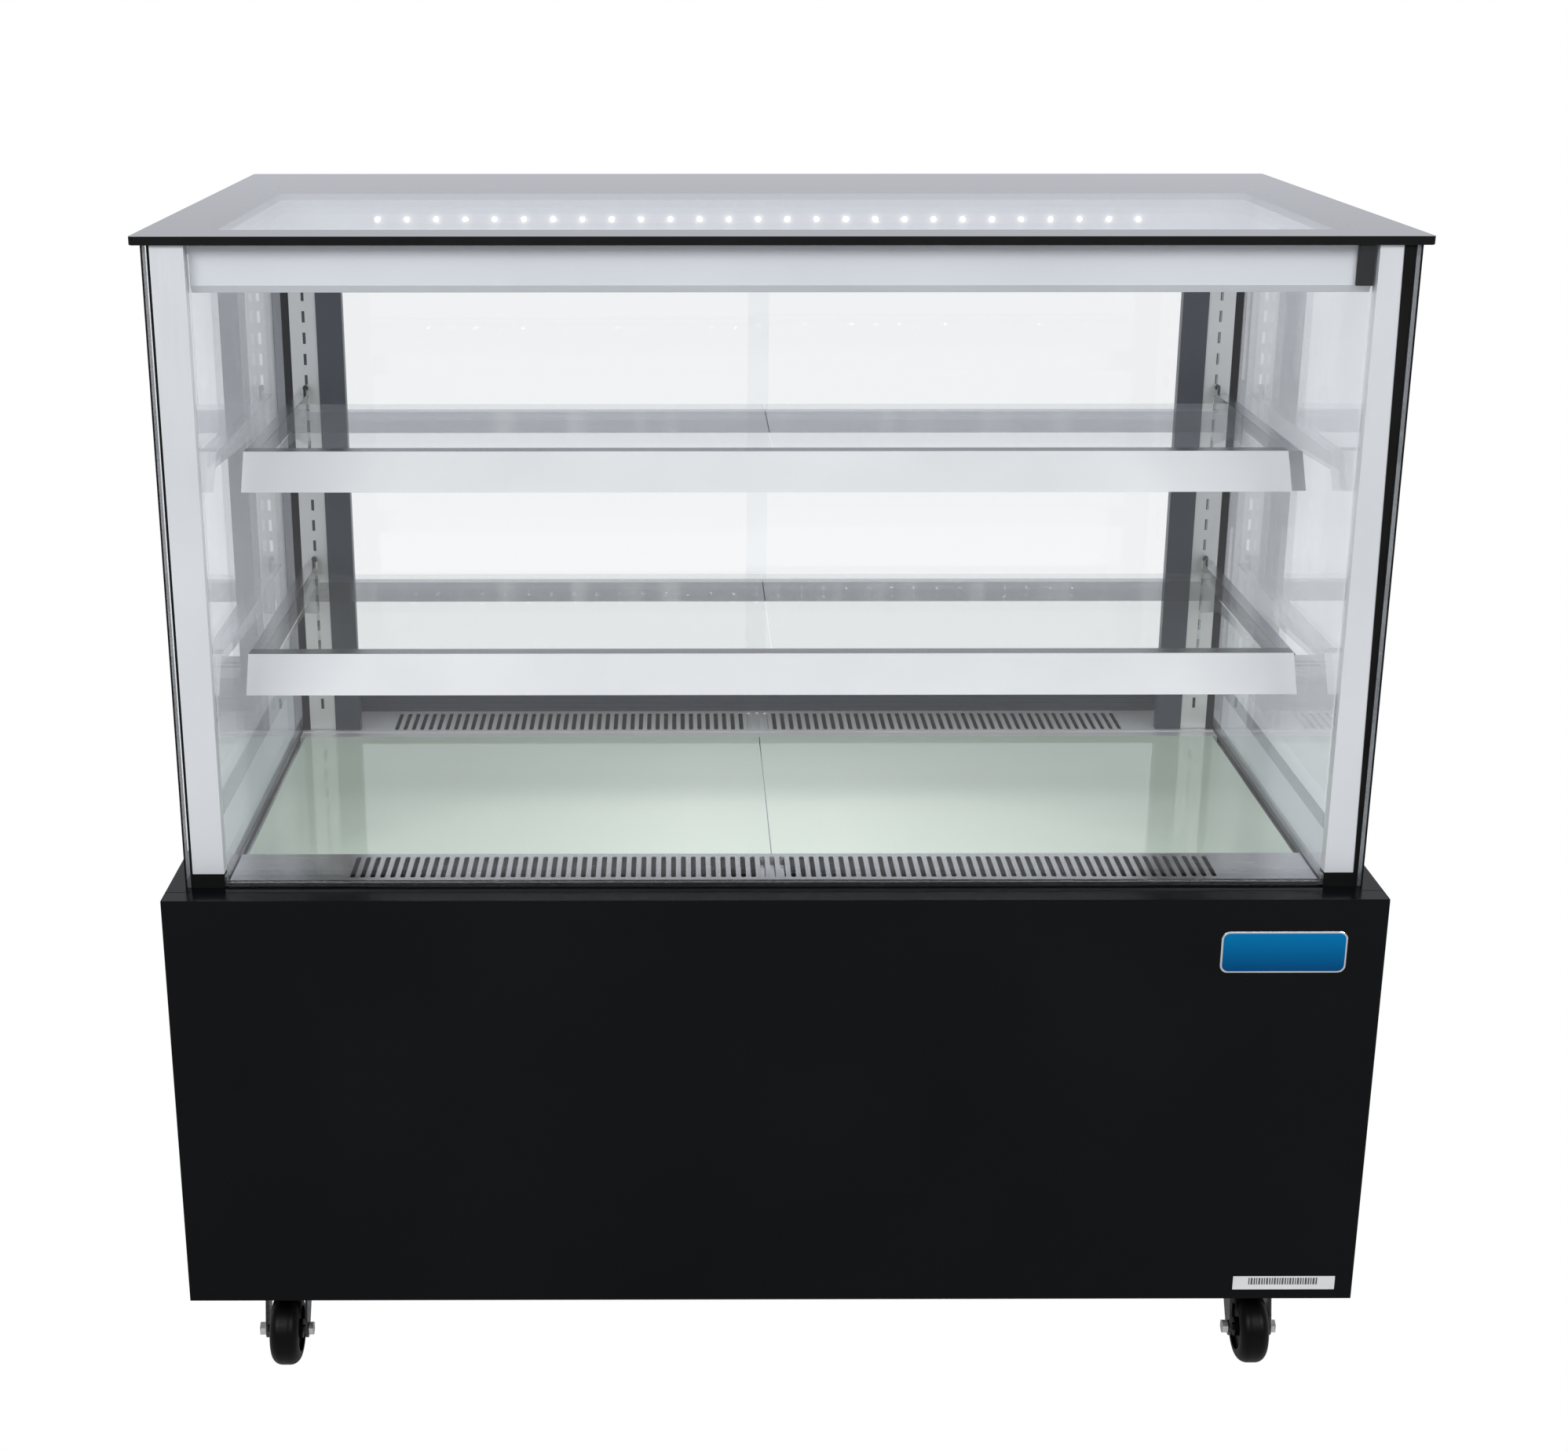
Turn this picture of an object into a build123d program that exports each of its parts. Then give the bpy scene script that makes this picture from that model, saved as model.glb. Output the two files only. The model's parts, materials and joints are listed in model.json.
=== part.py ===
from build123d import *
import os

# Refrigerated bakery display case on castors, customer side towards -Y, server side towards +Y.
# X runs across the case, Z is up, and the origin is on the floor below the centre of the base.
# All lengths are in millimetres.

# Overall size
WIDTH = 1200.0
DEPTH = 700.0
BASE_BOTTOM = 100.0
BASE_TOP = 545.0
CASE_TOP = 1171.0
FRIT = 0.5
TOP_GLASS = 7.5
SHEET = 1.2
HALF_W = WIDTH / 2
FRONT = -DEPTH / 2
REAR = DEPTH / 2
PROUD = 1.2  # how far the badge and the rear screw heads stand out

# Base cabinet
FOLD_FRONT = 23.0
FOLD_SIDE = 24.0
RAIL = 25.0
RAIL_WALL = 2.0
RAIL_TOP = 541.0
CONTROL_Z = 442.0
REAR_PANEL_X = 577.0

# Fittings of the rear panels
GLAND_X = 500.0
GLAND_Z = 150.0
GLAND_R = 8.0
CORD_HOLE_R = 4.2
SWITCHES = {"power_rocker": 410.0, "lamp_rocker": 460.0}
SWITCH_Z = 500.0
SWITCH_W = 21.0
SWITCH_H = 27.0
CONTROLLER = (250.0, 500.0, 71.0, 29.0)  # centre x, centre z, width and height of the cut-out
ROCKER_Y = REAR - 8.0
ROCKER_TILT = 9.0
ROCKER_PIN_R = 1.5

# Cold-air well under the deck
WELL_X = 541.0
WELL_FRONT = -303.0
WELL_REAR = 249.0
WELL_FLOOR = 441.0
LINER = 1.0
FOAM = 28.0
LEDGE_TOP = 542.0
DECK_TOP = 548.0
DECK_X = 534.0
DECK_FRONT = -231.0
DECK_REAR = 150.0
GRILLE_T = 1.5
SLOT_PITCH = 10.0
SLOT_W = 5.0
DRAIN = (-300.0, -250.0)
DRAIN_R = 9.0

# Glazed case
CASE_FRONT = -315.0
CASE_REAR = 345.0
PANE = 4.0
INNER_PANE_X = 541.5
OUTER_PANE_X = 576.5
POST_IN = 543.0
POST_OUT = 574.0
POST_DEPTH = 15.0
POST_FOOT = 559.5
TRIM_OUT = 582.0
FRONT_PANE = 6.0
FRONT_GLASS_X = 540.5
FRONT_GLASS_BOTTOM = 548.0
PIVOT_Y = -313.0
PIVOT_Z = 553.0
PIN_R = 1.5
RUNNING = 0.05  # radial running clearance

# Top glass
TOP_X = 592.0
TOP_FRONT = -319.0
TOP_REAR = 346.0
WINDOW_X = 535.0
WINDOW_FRONT = -263.0
WINDOW_REAR = 186.0

# Lamp header at the front and door header at the rear
HEADER_FRONT = -303.0
HEADER_DEPTH = 40.0
HEADER_FACE = 1133.0
HEADER_BOTTOM = 1126.0
HEADER_X = 541.0
CATCH_X = 526.0
DOOR_HEADER_FRONT = 172.0
DOOR_HEADER_BOTTOM = 1120.0

# Rear columns and slotted uprights
COLUMN_Y = 176.0
COLUMN_IN = 472.5
COLUMN_OUT = 502.0
UPRIGHT_OUT = 532.0
UPRIGHT_Y = 178.0
HOOK_X = 516.5
SLOT_Z0 = 580.0
HOOK_PITCH = 24.0
HOOK_SLOTS = 22

# Sliding doors
SILL_TOP = 590.0
JAMB_IN = 520.0
DOOR_PANE = 5.0
DOOR_LAP = 12.0
TRACK_LEFT = 297.0
TRACK_RIGHT = 313.0
TRACK_PLAY = 1.5
TRACK_DEPTH = 6.0
TRACK_HEAD = 8.0
DOOR_BEAD = 6.0
FRAME_WALL = 2.5

# Shelves: glass top height, front edge, rear edge
SHELF_GLASS = 6.0
SHELF_X = 528.0
UPPER = {"top": 950.0, "front": -165.0, "rear": 107.0, "nose": 14.0, "hook": 940.0}
LOWER = {"top": 751.0, "front": -202.0, "rear": 127.0, "nose": 2.0, "hook": 748.0}
RAIL_DROP = 35.0
RAIL_KICK = 24.0
ARM_T = 3.0
LED_PITCH = 32.4

# Castors
CASTOR_X = 509.7
CASTOR_Y = 275.0
TRAIL = 28.0
WHEEL_R = 37.5
WHEEL_W = 30.0
AXLE_R = 4.0

# Refrigeration
EVAP_FAN = (0.0, -60.0, 487.0)
COND_FAN = (260.0, 158.0, 250.0)

os.makedirs("parts", exist_ok=True)


def block(x0, x1, y0, y1, z0, z1):
    """A box between two corners."""
    middle = Pos((x0 + x1) / 2, (y0 + y1) / 2, (z0 + z1) / 2)
    return middle * Box(x1 - x0, y1 - y0, z1 - z0)


def both(x0, x1, y0, y1, z0, z1):
    """A box on the +X side and its mirror image on the -X side."""
    return [block(x0, x1, y0, y1, z0, z1), block(-x1, -x0, y0, y1, z0, z1)]


def rod_x(x0, x1, y, z, r):
    """A round bar along X."""
    return Pos((x0 + x1) / 2, y, z) * Rot(0, 90, 0) * Cylinder(r, x1 - x0)


def rod_y(x, y0, y1, z, r):
    """A round bar along Y."""
    return Pos(x, (y0 + y1) / 2, z) * Rot(90, 0, 0) * Cylinder(r, y1 - y0)


def rod_z(x, y, z0, z1, r):
    """A round bar along Z."""
    return Pos(x, y, (z0 + z1) / 2) * Cylinder(r, z1 - z0)


def bar_y(cx, cz, w, h, y0, y1):
    """A rectangular bar along Y, centred on (cx, cz)."""
    return block(cx - w / 2, cx + w / 2, y0, y1, cz - h / 2, cz + h / 2)


def along_x(points, x0, x1):
    """A closed outline of (y, z) points, extruded along X."""
    face = make_face(Polyline(*[(0, y, z) for y, z in points], close=True))
    return Pos(x0, 0, 0) * extrude(face, amount=x1 - x0, dir=(1, 0, 0))


def perforated(x0, x1, y0, y1, z0, thick, slot_xs, slot_y, slot_len):
    """A flat plate with a row of round-ended slots running along Y."""
    plate = Pos((x0 + x1) / 2, (y0 + y1) / 2) * Rectangle(x1 - x0, y1 - y0)
    slots = [Pos(x, slot_y) * Rot(0, 0, 90) * SlotOverall(slot_len, SLOT_W) for x in slot_xs]
    return Pos(0, 0, z0) * extrude(plate - slots, amount=thick)


def mirrored(shape):
    """The same piece on the other side of the case."""
    return mirror(shape, about=Plane.YZ)


def save(node, *pieces):
    """Writes one node; every separate solid of it stays a separate solid."""
    solids = [solid for piece in pieces for solid in piece.solids()]
    export_step(Compound(solids), f"parts/{node}.step")


# ---------------------------------------------------------------- base cabinet


def base_pan():
    """Floor pan with the air grid of the condenser."""
    x = HALF_W - SHEET - 2.0
    y = REAR - SHEET * 2 - 0.4
    z = BASE_BOTTOM + SHEET
    pan = block(-x, x, -y, y, z, z + RAIL_WALL)
    vent = block(120, 400, 120, 300, z - 1, z + 3)
    bars = [block(120, 400, v, v + 4, z, z + RAIL_WALL) for v in range(132, 300, 14)]
    return (pan - vent) + bars


def base_frame():
    """Floor pan, its folded edges, the corner angles and the angle rails under the plinth."""
    x = HALF_W - SHEET - 2.0
    y = REAR - SHEET * 2 - 0.4
    z = BASE_BOTTOM + SHEET + RAIL_WALL
    xi = x - RAIL
    yi = y - RAIL
    t = RAIL_WALL
    pieces = [base_pan()]
    pieces += both(x - t, x, -yi, yi, z, z + RAIL)
    pieces += [block(-xi, xi, -y, t - y, z, z + RAIL), block(-xi, xi, y - t, y, z, z + RAIL)]
    corner = block(xi, x, yi, y, z, RAIL_TOP) - block(xi - 1, x - t, yi - 1, y - t, z - 1, RAIL_TOP + 1)
    side = block(xi, x, -yi, yi, RAIL_TOP - RAIL, RAIL_TOP)
    side -= block(xi - 1, x - t, -yi - 1, yi + 1, RAIL_TOP - RAIL - 1, RAIL_TOP - t)
    rear = block(-xi, xi, yi, y, RAIL_TOP - RAIL, RAIL_TOP)
    rear -= block(-xi - 1, xi + 1, yi - 1, y - t, RAIL_TOP - RAIL - 1, RAIL_TOP - t)
    for piece in (corner, mirrored(corner), rear):
        pieces += [piece, mirror(piece, about=Plane.XZ)]
    pieces += [side, mirrored(side)]
    pieces.append(block(-xi, xi, y - t, y, CONTROL_Z - RAIL / 2, CONTROL_Z + RAIL / 2))
    return pieces


def front_panel():
    """Black front cover, folded back along its top and foot."""
    skin = block(-HALF_W, HALF_W, FRONT, FRONT + SHEET, BASE_BOTTOM, BASE_TOP)
    fold_x = HALF_W - SHEET - 0.1
    top = block(-fold_x, fold_x, FRONT, FRONT + FOLD_FRONT, BASE_TOP - SHEET, BASE_TOP)
    foot = block(-fold_x, fold_x, FRONT, FRONT + 12, BASE_BOTTOM, BASE_BOTTOM + SHEET)
    return skin + top + foot


def side_panel():
    """Black side cover with folds along its top, foot and rear edge."""
    y0 = FRONT + SHEET + 0.2
    inner = HALF_W - SHEET
    skin = block(inner, HALF_W, y0, REAR, BASE_BOTTOM, BASE_TOP)
    top_y = FRONT + FOLD_FRONT + 0.4
    top = block(HALF_W - FOLD_SIDE, HALF_W, top_y, REAR, BASE_TOP - SHEET, BASE_TOP)
    foot_y = FRONT + 12.4
    foot = block(HALF_W - 12, HALF_W, foot_y, REAR, BASE_BOTTOM, BASE_BOTTOM + SHEET)
    back = block(HALF_W - 22, HALF_W, REAR - SHEET, REAR, BASE_BOTTOM, BASE_TOP)
    return skin + top + foot + back


def louvre_panel():
    """Lift-off rear cover of the machine compartment, with a blade behind each air slot."""
    x = REAR_PANEL_X
    z0 = BASE_BOTTOM + 3
    z1 = CONTROL_Z - 1
    panel = block(-x, x, REAR - SHEET, REAR, z0, z1)
    slots = []
    blades = []
    for centre in (-300, 0, 300):
        for row in range(13):
            z = z0 + 52 + row * 20
            slots.append(block(centre - 110, centre + 110, REAR - 2, REAR + 1, z, z + 7))
            root = REAR - SHEET
            tip = REAR - 9
            blade = [(root, z + 7), (root, z + 8.4), (tip, z - 2), (tip, z - 3.4)]
            blades.append(along_x(blade, centre - 110, centre + 110))
    outlet = rod_y(GLAND_X, REAR - 3, REAR + 1, GLAND_Z, GLAND_R)
    return [panel - slots - outlet] + blades


def cable_gland():
    """Snap-in bush that the mains lead leaves through."""
    body = rod_y(GLAND_X, REAR - 14, REAR, GLAND_Z, GLAND_R - 0.1)
    flange = rod_y(GLAND_X, REAR + 0.02, REAR + PROUD, GLAND_Z, 12)
    neck = rod_y(GLAND_X, REAR - 0.5, REAR + 0.5, GLAND_Z, GLAND_R - 0.1)
    collar = rod_y(GLAND_X, REAR - 14, REAR - 2, GLAND_Z, GLAND_R + 2.5)
    bore = rod_y(GLAND_X, REAR - 20, REAR + 5, GLAND_Z, CORD_HOLE_R)
    return body + neck + flange + collar - bore


def control_panel():
    """Black strip below the doors that carries the thermostat and the switches."""
    x = REAR_PANEL_X
    panel = block(-x, x, REAR - SHEET, REAR, CONTROL_Z, BASE_TOP - SHEET - 0.3)
    cuts = [bar_y(*CONTROLLER, REAR - 3, REAR + 1)]
    for x0 in SWITCHES.values():
        cuts.append(bar_y(x0, SWITCH_Z, SWITCH_W + 4, SWITCH_H + 4, REAR - 3, REAR + 1))
    return panel - cuts


def control_bezels():
    """Thermostat housing with a display window, and the frames of the two switches."""
    cx, cz, w, h = CONTROLLER
    lip = bar_y(cx, cz, w + 6, h + 6, REAR + 0.02, REAR + PROUD)
    case = bar_y(cx, cz, w - 0.4, h - 0.4, REAR - 55, REAR + 0.5)
    screen = bar_y(cx - 6, cz, 32, 18, REAR + 0.5, REAR + 3)
    pieces = [case + lip - screen]
    for x0 in SWITCHES.values():
        lip = bar_y(x0, SWITCH_Z, SWITCH_W + 8, SWITCH_H + 8, REAR + 0.02, REAR + PROUD)
        box = bar_y(x0, SWITCH_Z, SWITCH_W + 3.6, SWITCH_H + 3.6, REAR - 24, REAR + 0.5)
        well = bar_y(x0, SWITCH_Z, SWITCH_W, SWITCH_H, REAR - 18, REAR + 3)
        reach = SWITCH_W / 2 + 1
        pin = rod_x(x0 - reach, x0 + reach, ROCKER_Y, SWITCH_Z, ROCKER_PIN_R)
        pieces.append(box + lip - well + pin)
    return pieces


def rocker(x0):
    """A switch rocker, a shallow V that tips about its pin; it lies with its lower end pressed."""
    half = SWITCH_W / 2 - 0.4
    outline = [(4.0, 0), (5.9, 12), (-4, 8), (-4, -8), (5.9, -12)]
    body = along_x(outline, -half, half)
    bore = Rot(0, 90, 0) * Cylinder(ROCKER_PIN_R + RUNNING, SWITCH_W)
    return Pos(x0, ROCKER_Y, SWITCH_Z) * Rot(-ROCKER_TILT, 0, 0) * (body - bore)


def panel_screws():
    """Pan-head screws of the rear cover and of the control strip."""
    screws = []
    for x in (-560, -280, 0, 280, 560):
        for z in (BASE_BOTTOM + 14, CONTROL_Z - 10, CONTROL_Z + 10, BASE_TOP - 12):
            shank = rod_y(x, REAR - 10, REAR + 0.2, z, 2)
            head = rod_y(x, REAR + 0.02, REAR + PROUD, z, 4.5)
            screws.append(shank + head)
    return screws


def badge():
    """Blank rounded badge on the front cover."""
    w, h, r = 124.0, 44.0, 8.0
    plate = extrude(RectangleRounded(w, h, r), amount=PROUD)
    return Pos(500, FRONT, 489.4) * Rot(90, 0, 0) * plate


# ---------------------------------------------------------------- cold-air well


def cold_well():
    """Stainless liner with ledges for the deck and cross bars under the joint and the columns."""
    x = WELL_X
    z0 = WELL_FLOOR - LINER
    floor = block(-x, x, WELL_FRONT, WELL_REAR, z0, WELL_FLOOR)
    floor -= rod_z(DRAIN[0], DRAIN[1], z0 - 4, WELL_FLOOR + 5, DRAIN_R)
    pieces = [floor]
    pieces += both(x, x + LINER, WELL_FRONT - LINER, WELL_REAR + LINER, z0, RAIL_TOP)
    pieces.append(block(-x, x, WELL_FRONT - LINER, WELL_FRONT, z0, RAIL_TOP))
    pieces.append(block(-x, x, WELL_REAR, WELL_REAR + LINER, z0, RAIL_TOP))
    ledge_in = x - 14
    pieces += both(ledge_in, x, WELL_FRONT, WELL_REAR, LEDGE_TOP - 3, LEDGE_TOP)
    pieces.append(block(-12, 12, WELL_FRONT, COLUMN_Y - 3, LEDGE_TOP - 8, LEDGE_TOP))
    pieces.append(block(-ledge_in, ledge_in, COLUMN_Y - 3, COLUMN_Y + 17, LEDGE_TOP - 12, LEDGE_TOP))
    return pieces


def well_insulation():
    """Foam jacket around the liner."""
    x = WELL_X + LINER
    y0 = WELL_FRONT - LINER
    y1 = WELL_REAR + LINER
    z0 = WELL_FLOOR - LINER
    outer = block(-x - FOAM, x + FOAM, y0 - 16, y1 + FOAM, z0 - FOAM, RAIL_TOP)
    inner = block(-x, x, y0, y1, z0, RAIL_TOP + 1)
    drain = rod_z(DRAIN[0], DRAIN[1], WELL_FLOOR - 60, WELL_FLOOR + 5, DRAIN_R)
    return outer - inner - drain


def plinth_frame():
    """Gloss black frame that the glazing stands on, flush with the folds of the covers."""
    x = HALF_W - FOLD_SIDE - 0.3
    plate = block(-x, x, FRONT + FOLD_FRONT + 0.3, REAR - SHEET - 0.3, RAIL_TOP, BASE_TOP)
    return plate - block(-WELL_X, WELL_X, WELL_FRONT, WELL_REAR, RAIL_TOP - 1, BASE_TOP + 1)


def deck_glass():
    """Two tinted glass deck panels that meet at the middle."""
    gap = 0.6
    left = block(-DECK_X, -gap, DECK_FRONT, DECK_REAR, LEDGE_TOP, DECK_TOP)
    right = block(gap, DECK_X, DECK_FRONT, DECK_REAR, LEDGE_TOP, DECK_TOP)
    return [left, right]


def front_grille():
    """Return-air grille with a folded skirt, in front of the deck."""
    x = WELL_X - 0.5
    y0 = WELL_FRONT + 0.5
    y1 = DECK_FRONT - 0.5
    slots = [-420 + SLOT_PITCH * i for i in range(87)]
    plate = perforated(-x, x, y0, y1, DECK_TOP - GRILLE_T, GRILLE_T, slots, -268, 56)
    skirts = [
        block(-x, x, y0, y0 + GRILLE_T, LEDGE_TOP, DECK_TOP - GRILLE_T),
        block(-x, x, y1 - GRILLE_T, y1, LEDGE_TOP, DECK_TOP - GRILLE_T),
    ]
    return plate + skirts


def rear_grille():
    """Supply-air grille behind the deck, notched round the columns, with a low front step."""
    x = WELL_X - 0.5
    step_y = COLUMN_Y - 6
    slots = [-430 + SLOT_PITCH * i for i in range(87)]
    y1 = WELL_REAR - 0.5
    plate = perforated(-x, x, step_y, y1, DECK_TOP - GRILLE_T, GRILLE_T, slots, 209.5, 67)
    step = block(-x, x, DECK_REAR + 0.5, step_y + GRILLE_T, DECK_TOP - GRILLE_T - 1, DECK_TOP - 1)
    skirt = block(-x, x, DECK_REAR + 0.5, DECK_REAR + 0.5 + GRILLE_T, LEDGE_TOP, DECK_TOP - GRILLE_T)
    bearers = [block(-12, 12, step_y, y1, LEDGE_TOP, DECK_TOP - GRILLE_T)]
    bearers += both(x - 3, x, step_y, y1, LEDGE_TOP, DECK_TOP - GRILLE_T)
    notches = both(COLUMN_IN - 0.3, WELL_X, COLUMN_Y - 0.3, COLUMN_Y + 14.3, LEDGE_TOP - 1, DECK_TOP + 1)
    return (plate + step + skirt + bearers) - notches


# ---------------------------------------------------------------- refrigeration


def finned_coil(x0, x1, y0, y1, z0, z1, fins, tube_rows):
    """A stack of thin fins on a serpentine of copper tubes."""
    pitch = (x1 - x0) / (fins - 1)
    fin_xs = [x0 + i * pitch for i in range(fins)]
    fin_list = [block(x - 0.3, x + 0.3, y0, y1, z0, z1) for x in fin_xs]
    y = (y0 + y1) / 2
    step = (z1 - z0) / tube_rows
    tubes = []
    for row in range(tube_rows):
        z = z0 + step * (row + 0.5)
        tubes.append(rod_x(x0 - 12, x1 + 12, y, z, 4.5))
        if row:
            side = x1 + 12 if row % 2 else x0 - 12
            tubes.append(rod_z(side, y, z - step, z, 4.5))
    return fin_list[0] + fin_list[1:] + tubes


def fan(centre, radius, hub, depth, blades, shaft):
    """An axial fan on a bored hub whose shaft lies along Y."""
    blade_len = radius - hub + 4
    wing = Pos(0, 0, hub - 4 + blade_len / 2) * Rot(0, 0, 32) * Box(radius * 0.62, 2, blade_len)
    wings = [Rot(0, 360 / blades * i, 0) * wing for i in range(blades)]
    ring = rod_y(0, -depth, depth, 0, radius)
    trimmed = [wing & ring for wing in wings]
    core = rod_y(0, -depth / 2, depth / 2, 0, hub)
    bore = rod_y(0, -depth, depth, 0, shaft + RUNNING)
    return Pos(*centre) * (core + trimmed - bore)


def fan_plate(x0, x1, z0, z1, centre, radius, motor_y0, motor_y1, motor_r, shaft, tip):
    """A sheet with a round fan opening, and the motor on its spider behind it."""
    cx, cy, cz = centre
    y0 = cy - 14
    sheet = block(x0, x1, y0 - 1.5, y0, z0, z1) - rod_y(cx, y0 - 5, y0 + 5, cz, radius)
    motor = rod_y(cx, motor_y0, motor_y1, cz, motor_r)
    spindle = rod_y(cx, motor_y1 - 1, tip, cz, shaft)
    arms = [block(cx - radius - 8, cx + radius + 8, motor_y0, motor_y0 + 3, cz - 3, cz + 3)]
    legs = []
    for side in (-1, 1):
        leg_x = cx + side * (radius + 6)
        near = min(motor_y0, y0 - 1.5)
        far = max(motor_y0 + 3, y0)
        legs.append(block(leg_x - 2, leg_x + 2, near, far, cz - 3, cz + 3))
    return sheet + motor + spindle + arms + legs


def compressor():
    """Hermetic compressor on its foot plate."""
    shell = fillet(Cylinder(88, 170).edges(), 36) - fillet(Cylinder(74, 142).edges(), 22)
    shell = Pos(-260, 130, 210) * shell
    foot = block(-360, -160, 60, 200, 112, 116)
    grommets = [rod_z(x, y, 103.2, 125, 9) for x in (-348, -172) for y in (72, 188)]
    legs = [block(-300, -220, 80, 180, 116, 135)]
    terminal = block(-190, -160, 100, 150, 190, 250)
    return (shell + foot + legs + terminal) + grommets


def pipe(points, radius):
    """A bent copper pipe through corner points."""
    path = FilletPolyline(*points, radius=18)
    return sweep(Plane(origin=path @ 0, z_dir=path % 0) * Circle(radius), path=path)


def pipework():
    """Discharge, liquid and suction pipes with the filter drier."""
    discharge_path = [
        (-172, 110, 220),
        (-120, 110, 220),
        (-120, 110, 350),
        (60, 110, 350),
        (60, 221, 350),
        (86, 221, 350),
    ]
    discharge = pipe(discharge_path, 4)
    liquid = pipe([(86, 221, 146), (60, 221, 146), (60, 60, 146), (0, 60, 146)], 4)
    drier = rod_x(-110, 0, 60, 146, 11)
    capillary = pipe([(-110, 60, 146), (-140, 60, 146), (-140, 60, 396), (-140, 20, 396)], 3)
    suction = pipe([(-260, 215, 240), (-260, 260, 240), (-260, 260, 396), (-200, 260, 396)], 5)
    return [discharge, liquid, drier, capillary, suction]


def drain_tray():
    """Tray that collects and evaporates the melt water, with the drain pipe above it."""
    x, y = DRAIN
    tray = block(x - 110, x + 110, y - 40, y + 110, 103.4, 150)
    hollow = block(x - 108, x + 108, y - 38, y + 108, 105.4, 151)
    spout = rod_z(x, y, 160, WELL_FLOOR, 8.5) - rod_z(x, y, 150, WELL_FLOOR + 1, 7)
    return [tray - hollow, spout]


def electrical_box():
    """Box with the mains terminals and the LED driver."""
    box = block(-560, -400, REAR - 75, REAR - 30, 300, 400)
    lid = block(-563, -397, REAR - 30, REAR - 28, 297, 403)
    return box + lid


# ---------------------------------------------------------------- glazed case


def side_glass():
    """Inner and outer pane of one double-glazed side."""
    y0 = CASE_FRONT + POST_DEPTH + 0.5
    inner = block(INNER_PANE_X, INNER_PANE_X + PANE, y0, CASE_REAR, BASE_TOP, CASE_TOP)
    outer = block(OUTER_PANE_X, OUTER_PANE_X + PANE, CASE_FRONT + 1, CASE_REAR, BASE_TOP, CASE_TOP)
    return [inner, outer]


def front_post():
    """Folded silver post beside the front glass, open to the rear."""
    y1 = CASE_FRONT + POST_DEPTH
    post = block(POST_IN, POST_OUT, CASE_FRONT, y1, POST_FOOT, CASE_TOP)
    hollow = block(POST_IN + 2, POST_OUT - 2, CASE_FRONT + 2, y1 + 1, POST_FOOT - 1, CASE_TOP + 1)
    return post - hollow


def glazing_spacer():
    """Spacer bars between the panes along their foot, rear edge and top."""
    x0 = INNER_PANE_X + PANE + 0.1
    x1 = OUTER_PANE_X - 0.1
    y0 = CASE_FRONT + POST_DEPTH + 0.5
    y1 = CASE_REAR - 14
    foot = block(x0, x1, y0, y1, BASE_TOP, BASE_TOP + 12)
    back = block(x0, x1, y1, y1 + 12, BASE_TOP, CASE_TOP)
    head = block(x0, x1, y0, y1, CASE_TOP - 12, CASE_TOP)
    return [foot, back, head]


def edge_trims():
    """Black channels on the outer panes, pivot blocks under the posts and strips by the uprights."""
    lip_in = OUTER_PANE_X - 0.1
    lip_out = OUTER_PANE_X + PANE + 0.1
    channel = block(POST_OUT + 0.2, TRIM_OUT, CASE_FRONT, CASE_FRONT + 14, BASE_TOP, CASE_TOP)
    channel -= block(lip_in, lip_out, CASE_FRONT - 1, CASE_FRONT + 15, BASE_TOP - 1, CASE_TOP + 1)
    foot = block(POST_IN, POST_OUT, CASE_FRONT, CASE_FRONT + POST_DEPTH, BASE_TOP, POST_FOOT - 0.2)
    foot -= rod_x(POST_IN - 1, POST_IN + 16, PIVOT_Y, PIVOT_Z, PIN_R + RUNNING)
    strip_x = (UPRIGHT_OUT + 0.2, INNER_PANE_X - 0.6)
    strip = block(*strip_x, UPRIGHT_Y, UPRIGHT_Y + 8, LEDGE_TOP + 0.2, DOOR_HEADER_BOTTOM)
    rear = block(POST_IN + 2.7, TRIM_OUT, CASE_REAR + 0.1, CASE_REAR + 1, BASE_TOP, CASE_TOP)
    right = [channel, foot, strip, rear]
    return right + [mirrored(piece) for piece in right]


def post_cover():
    """Thin black cover on the outer edge of the right post, wider towards the top."""
    foot_in = POST_OUT - 2.2
    head_in = POST_OUT - 9.3
    outline = [(POST_OUT, CASE_TOP), (POST_OUT, POST_FOOT), (foot_in, POST_FOOT), (head_in, CASE_TOP)]
    face = make_face(Polyline(*[(x, CASE_FRONT, z) for x, z in outline], close=True))
    return extrude(face, amount=0.8, dir=(0, -1, 0))


def front_glass():
    """Clear front pane that tips forward about its foot."""
    y0 = CASE_FRONT
    return block(-FRONT_GLASS_X, FRONT_GLASS_X, y0, y0 + FRONT_PANE, FRONT_GLASS_BOTTOM, CASE_TOP - 1)


def front_glass_rail():
    """Slim channel on the foot of the front glass, with end caps and pivot pins."""
    x = FRONT_GLASS_X
    y0 = CASE_FRONT
    rail = block(-x, x, y0 - 0.8, y0 + FRONT_PANE + 0.8, FRONT_GLASS_BOTTOM - 1.2, FRONT_GLASS_BOTTOM + 2.4)
    rail -= block(-x - 1, x + 1, y0, y0 + FRONT_PANE, FRONT_GLASS_BOTTOM, FRONT_GLASS_BOTTOM + 5)
    caps = both(x, x + 2, y0 - 0.8, y0 + FRONT_PANE + 0.8, FRONT_GLASS_BOTTOM - 1.2, PIVOT_Z + 5)
    pin = rod_x(x + 1, x + 15, PIVOT_Y, PIVOT_Z, PIN_R)
    return rail + caps + [pin, mirrored(pin)]


def top_glass():
    """Counter glass with softened corners."""
    w = 2 * TOP_X
    d = TOP_REAR - TOP_FRONT
    plate = extrude(RectangleRounded(w, d, 4), amount=TOP_GLASS)
    return Pos(0, (TOP_FRONT + TOP_REAR) / 2, CASE_TOP + FRIT) * plate


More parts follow.
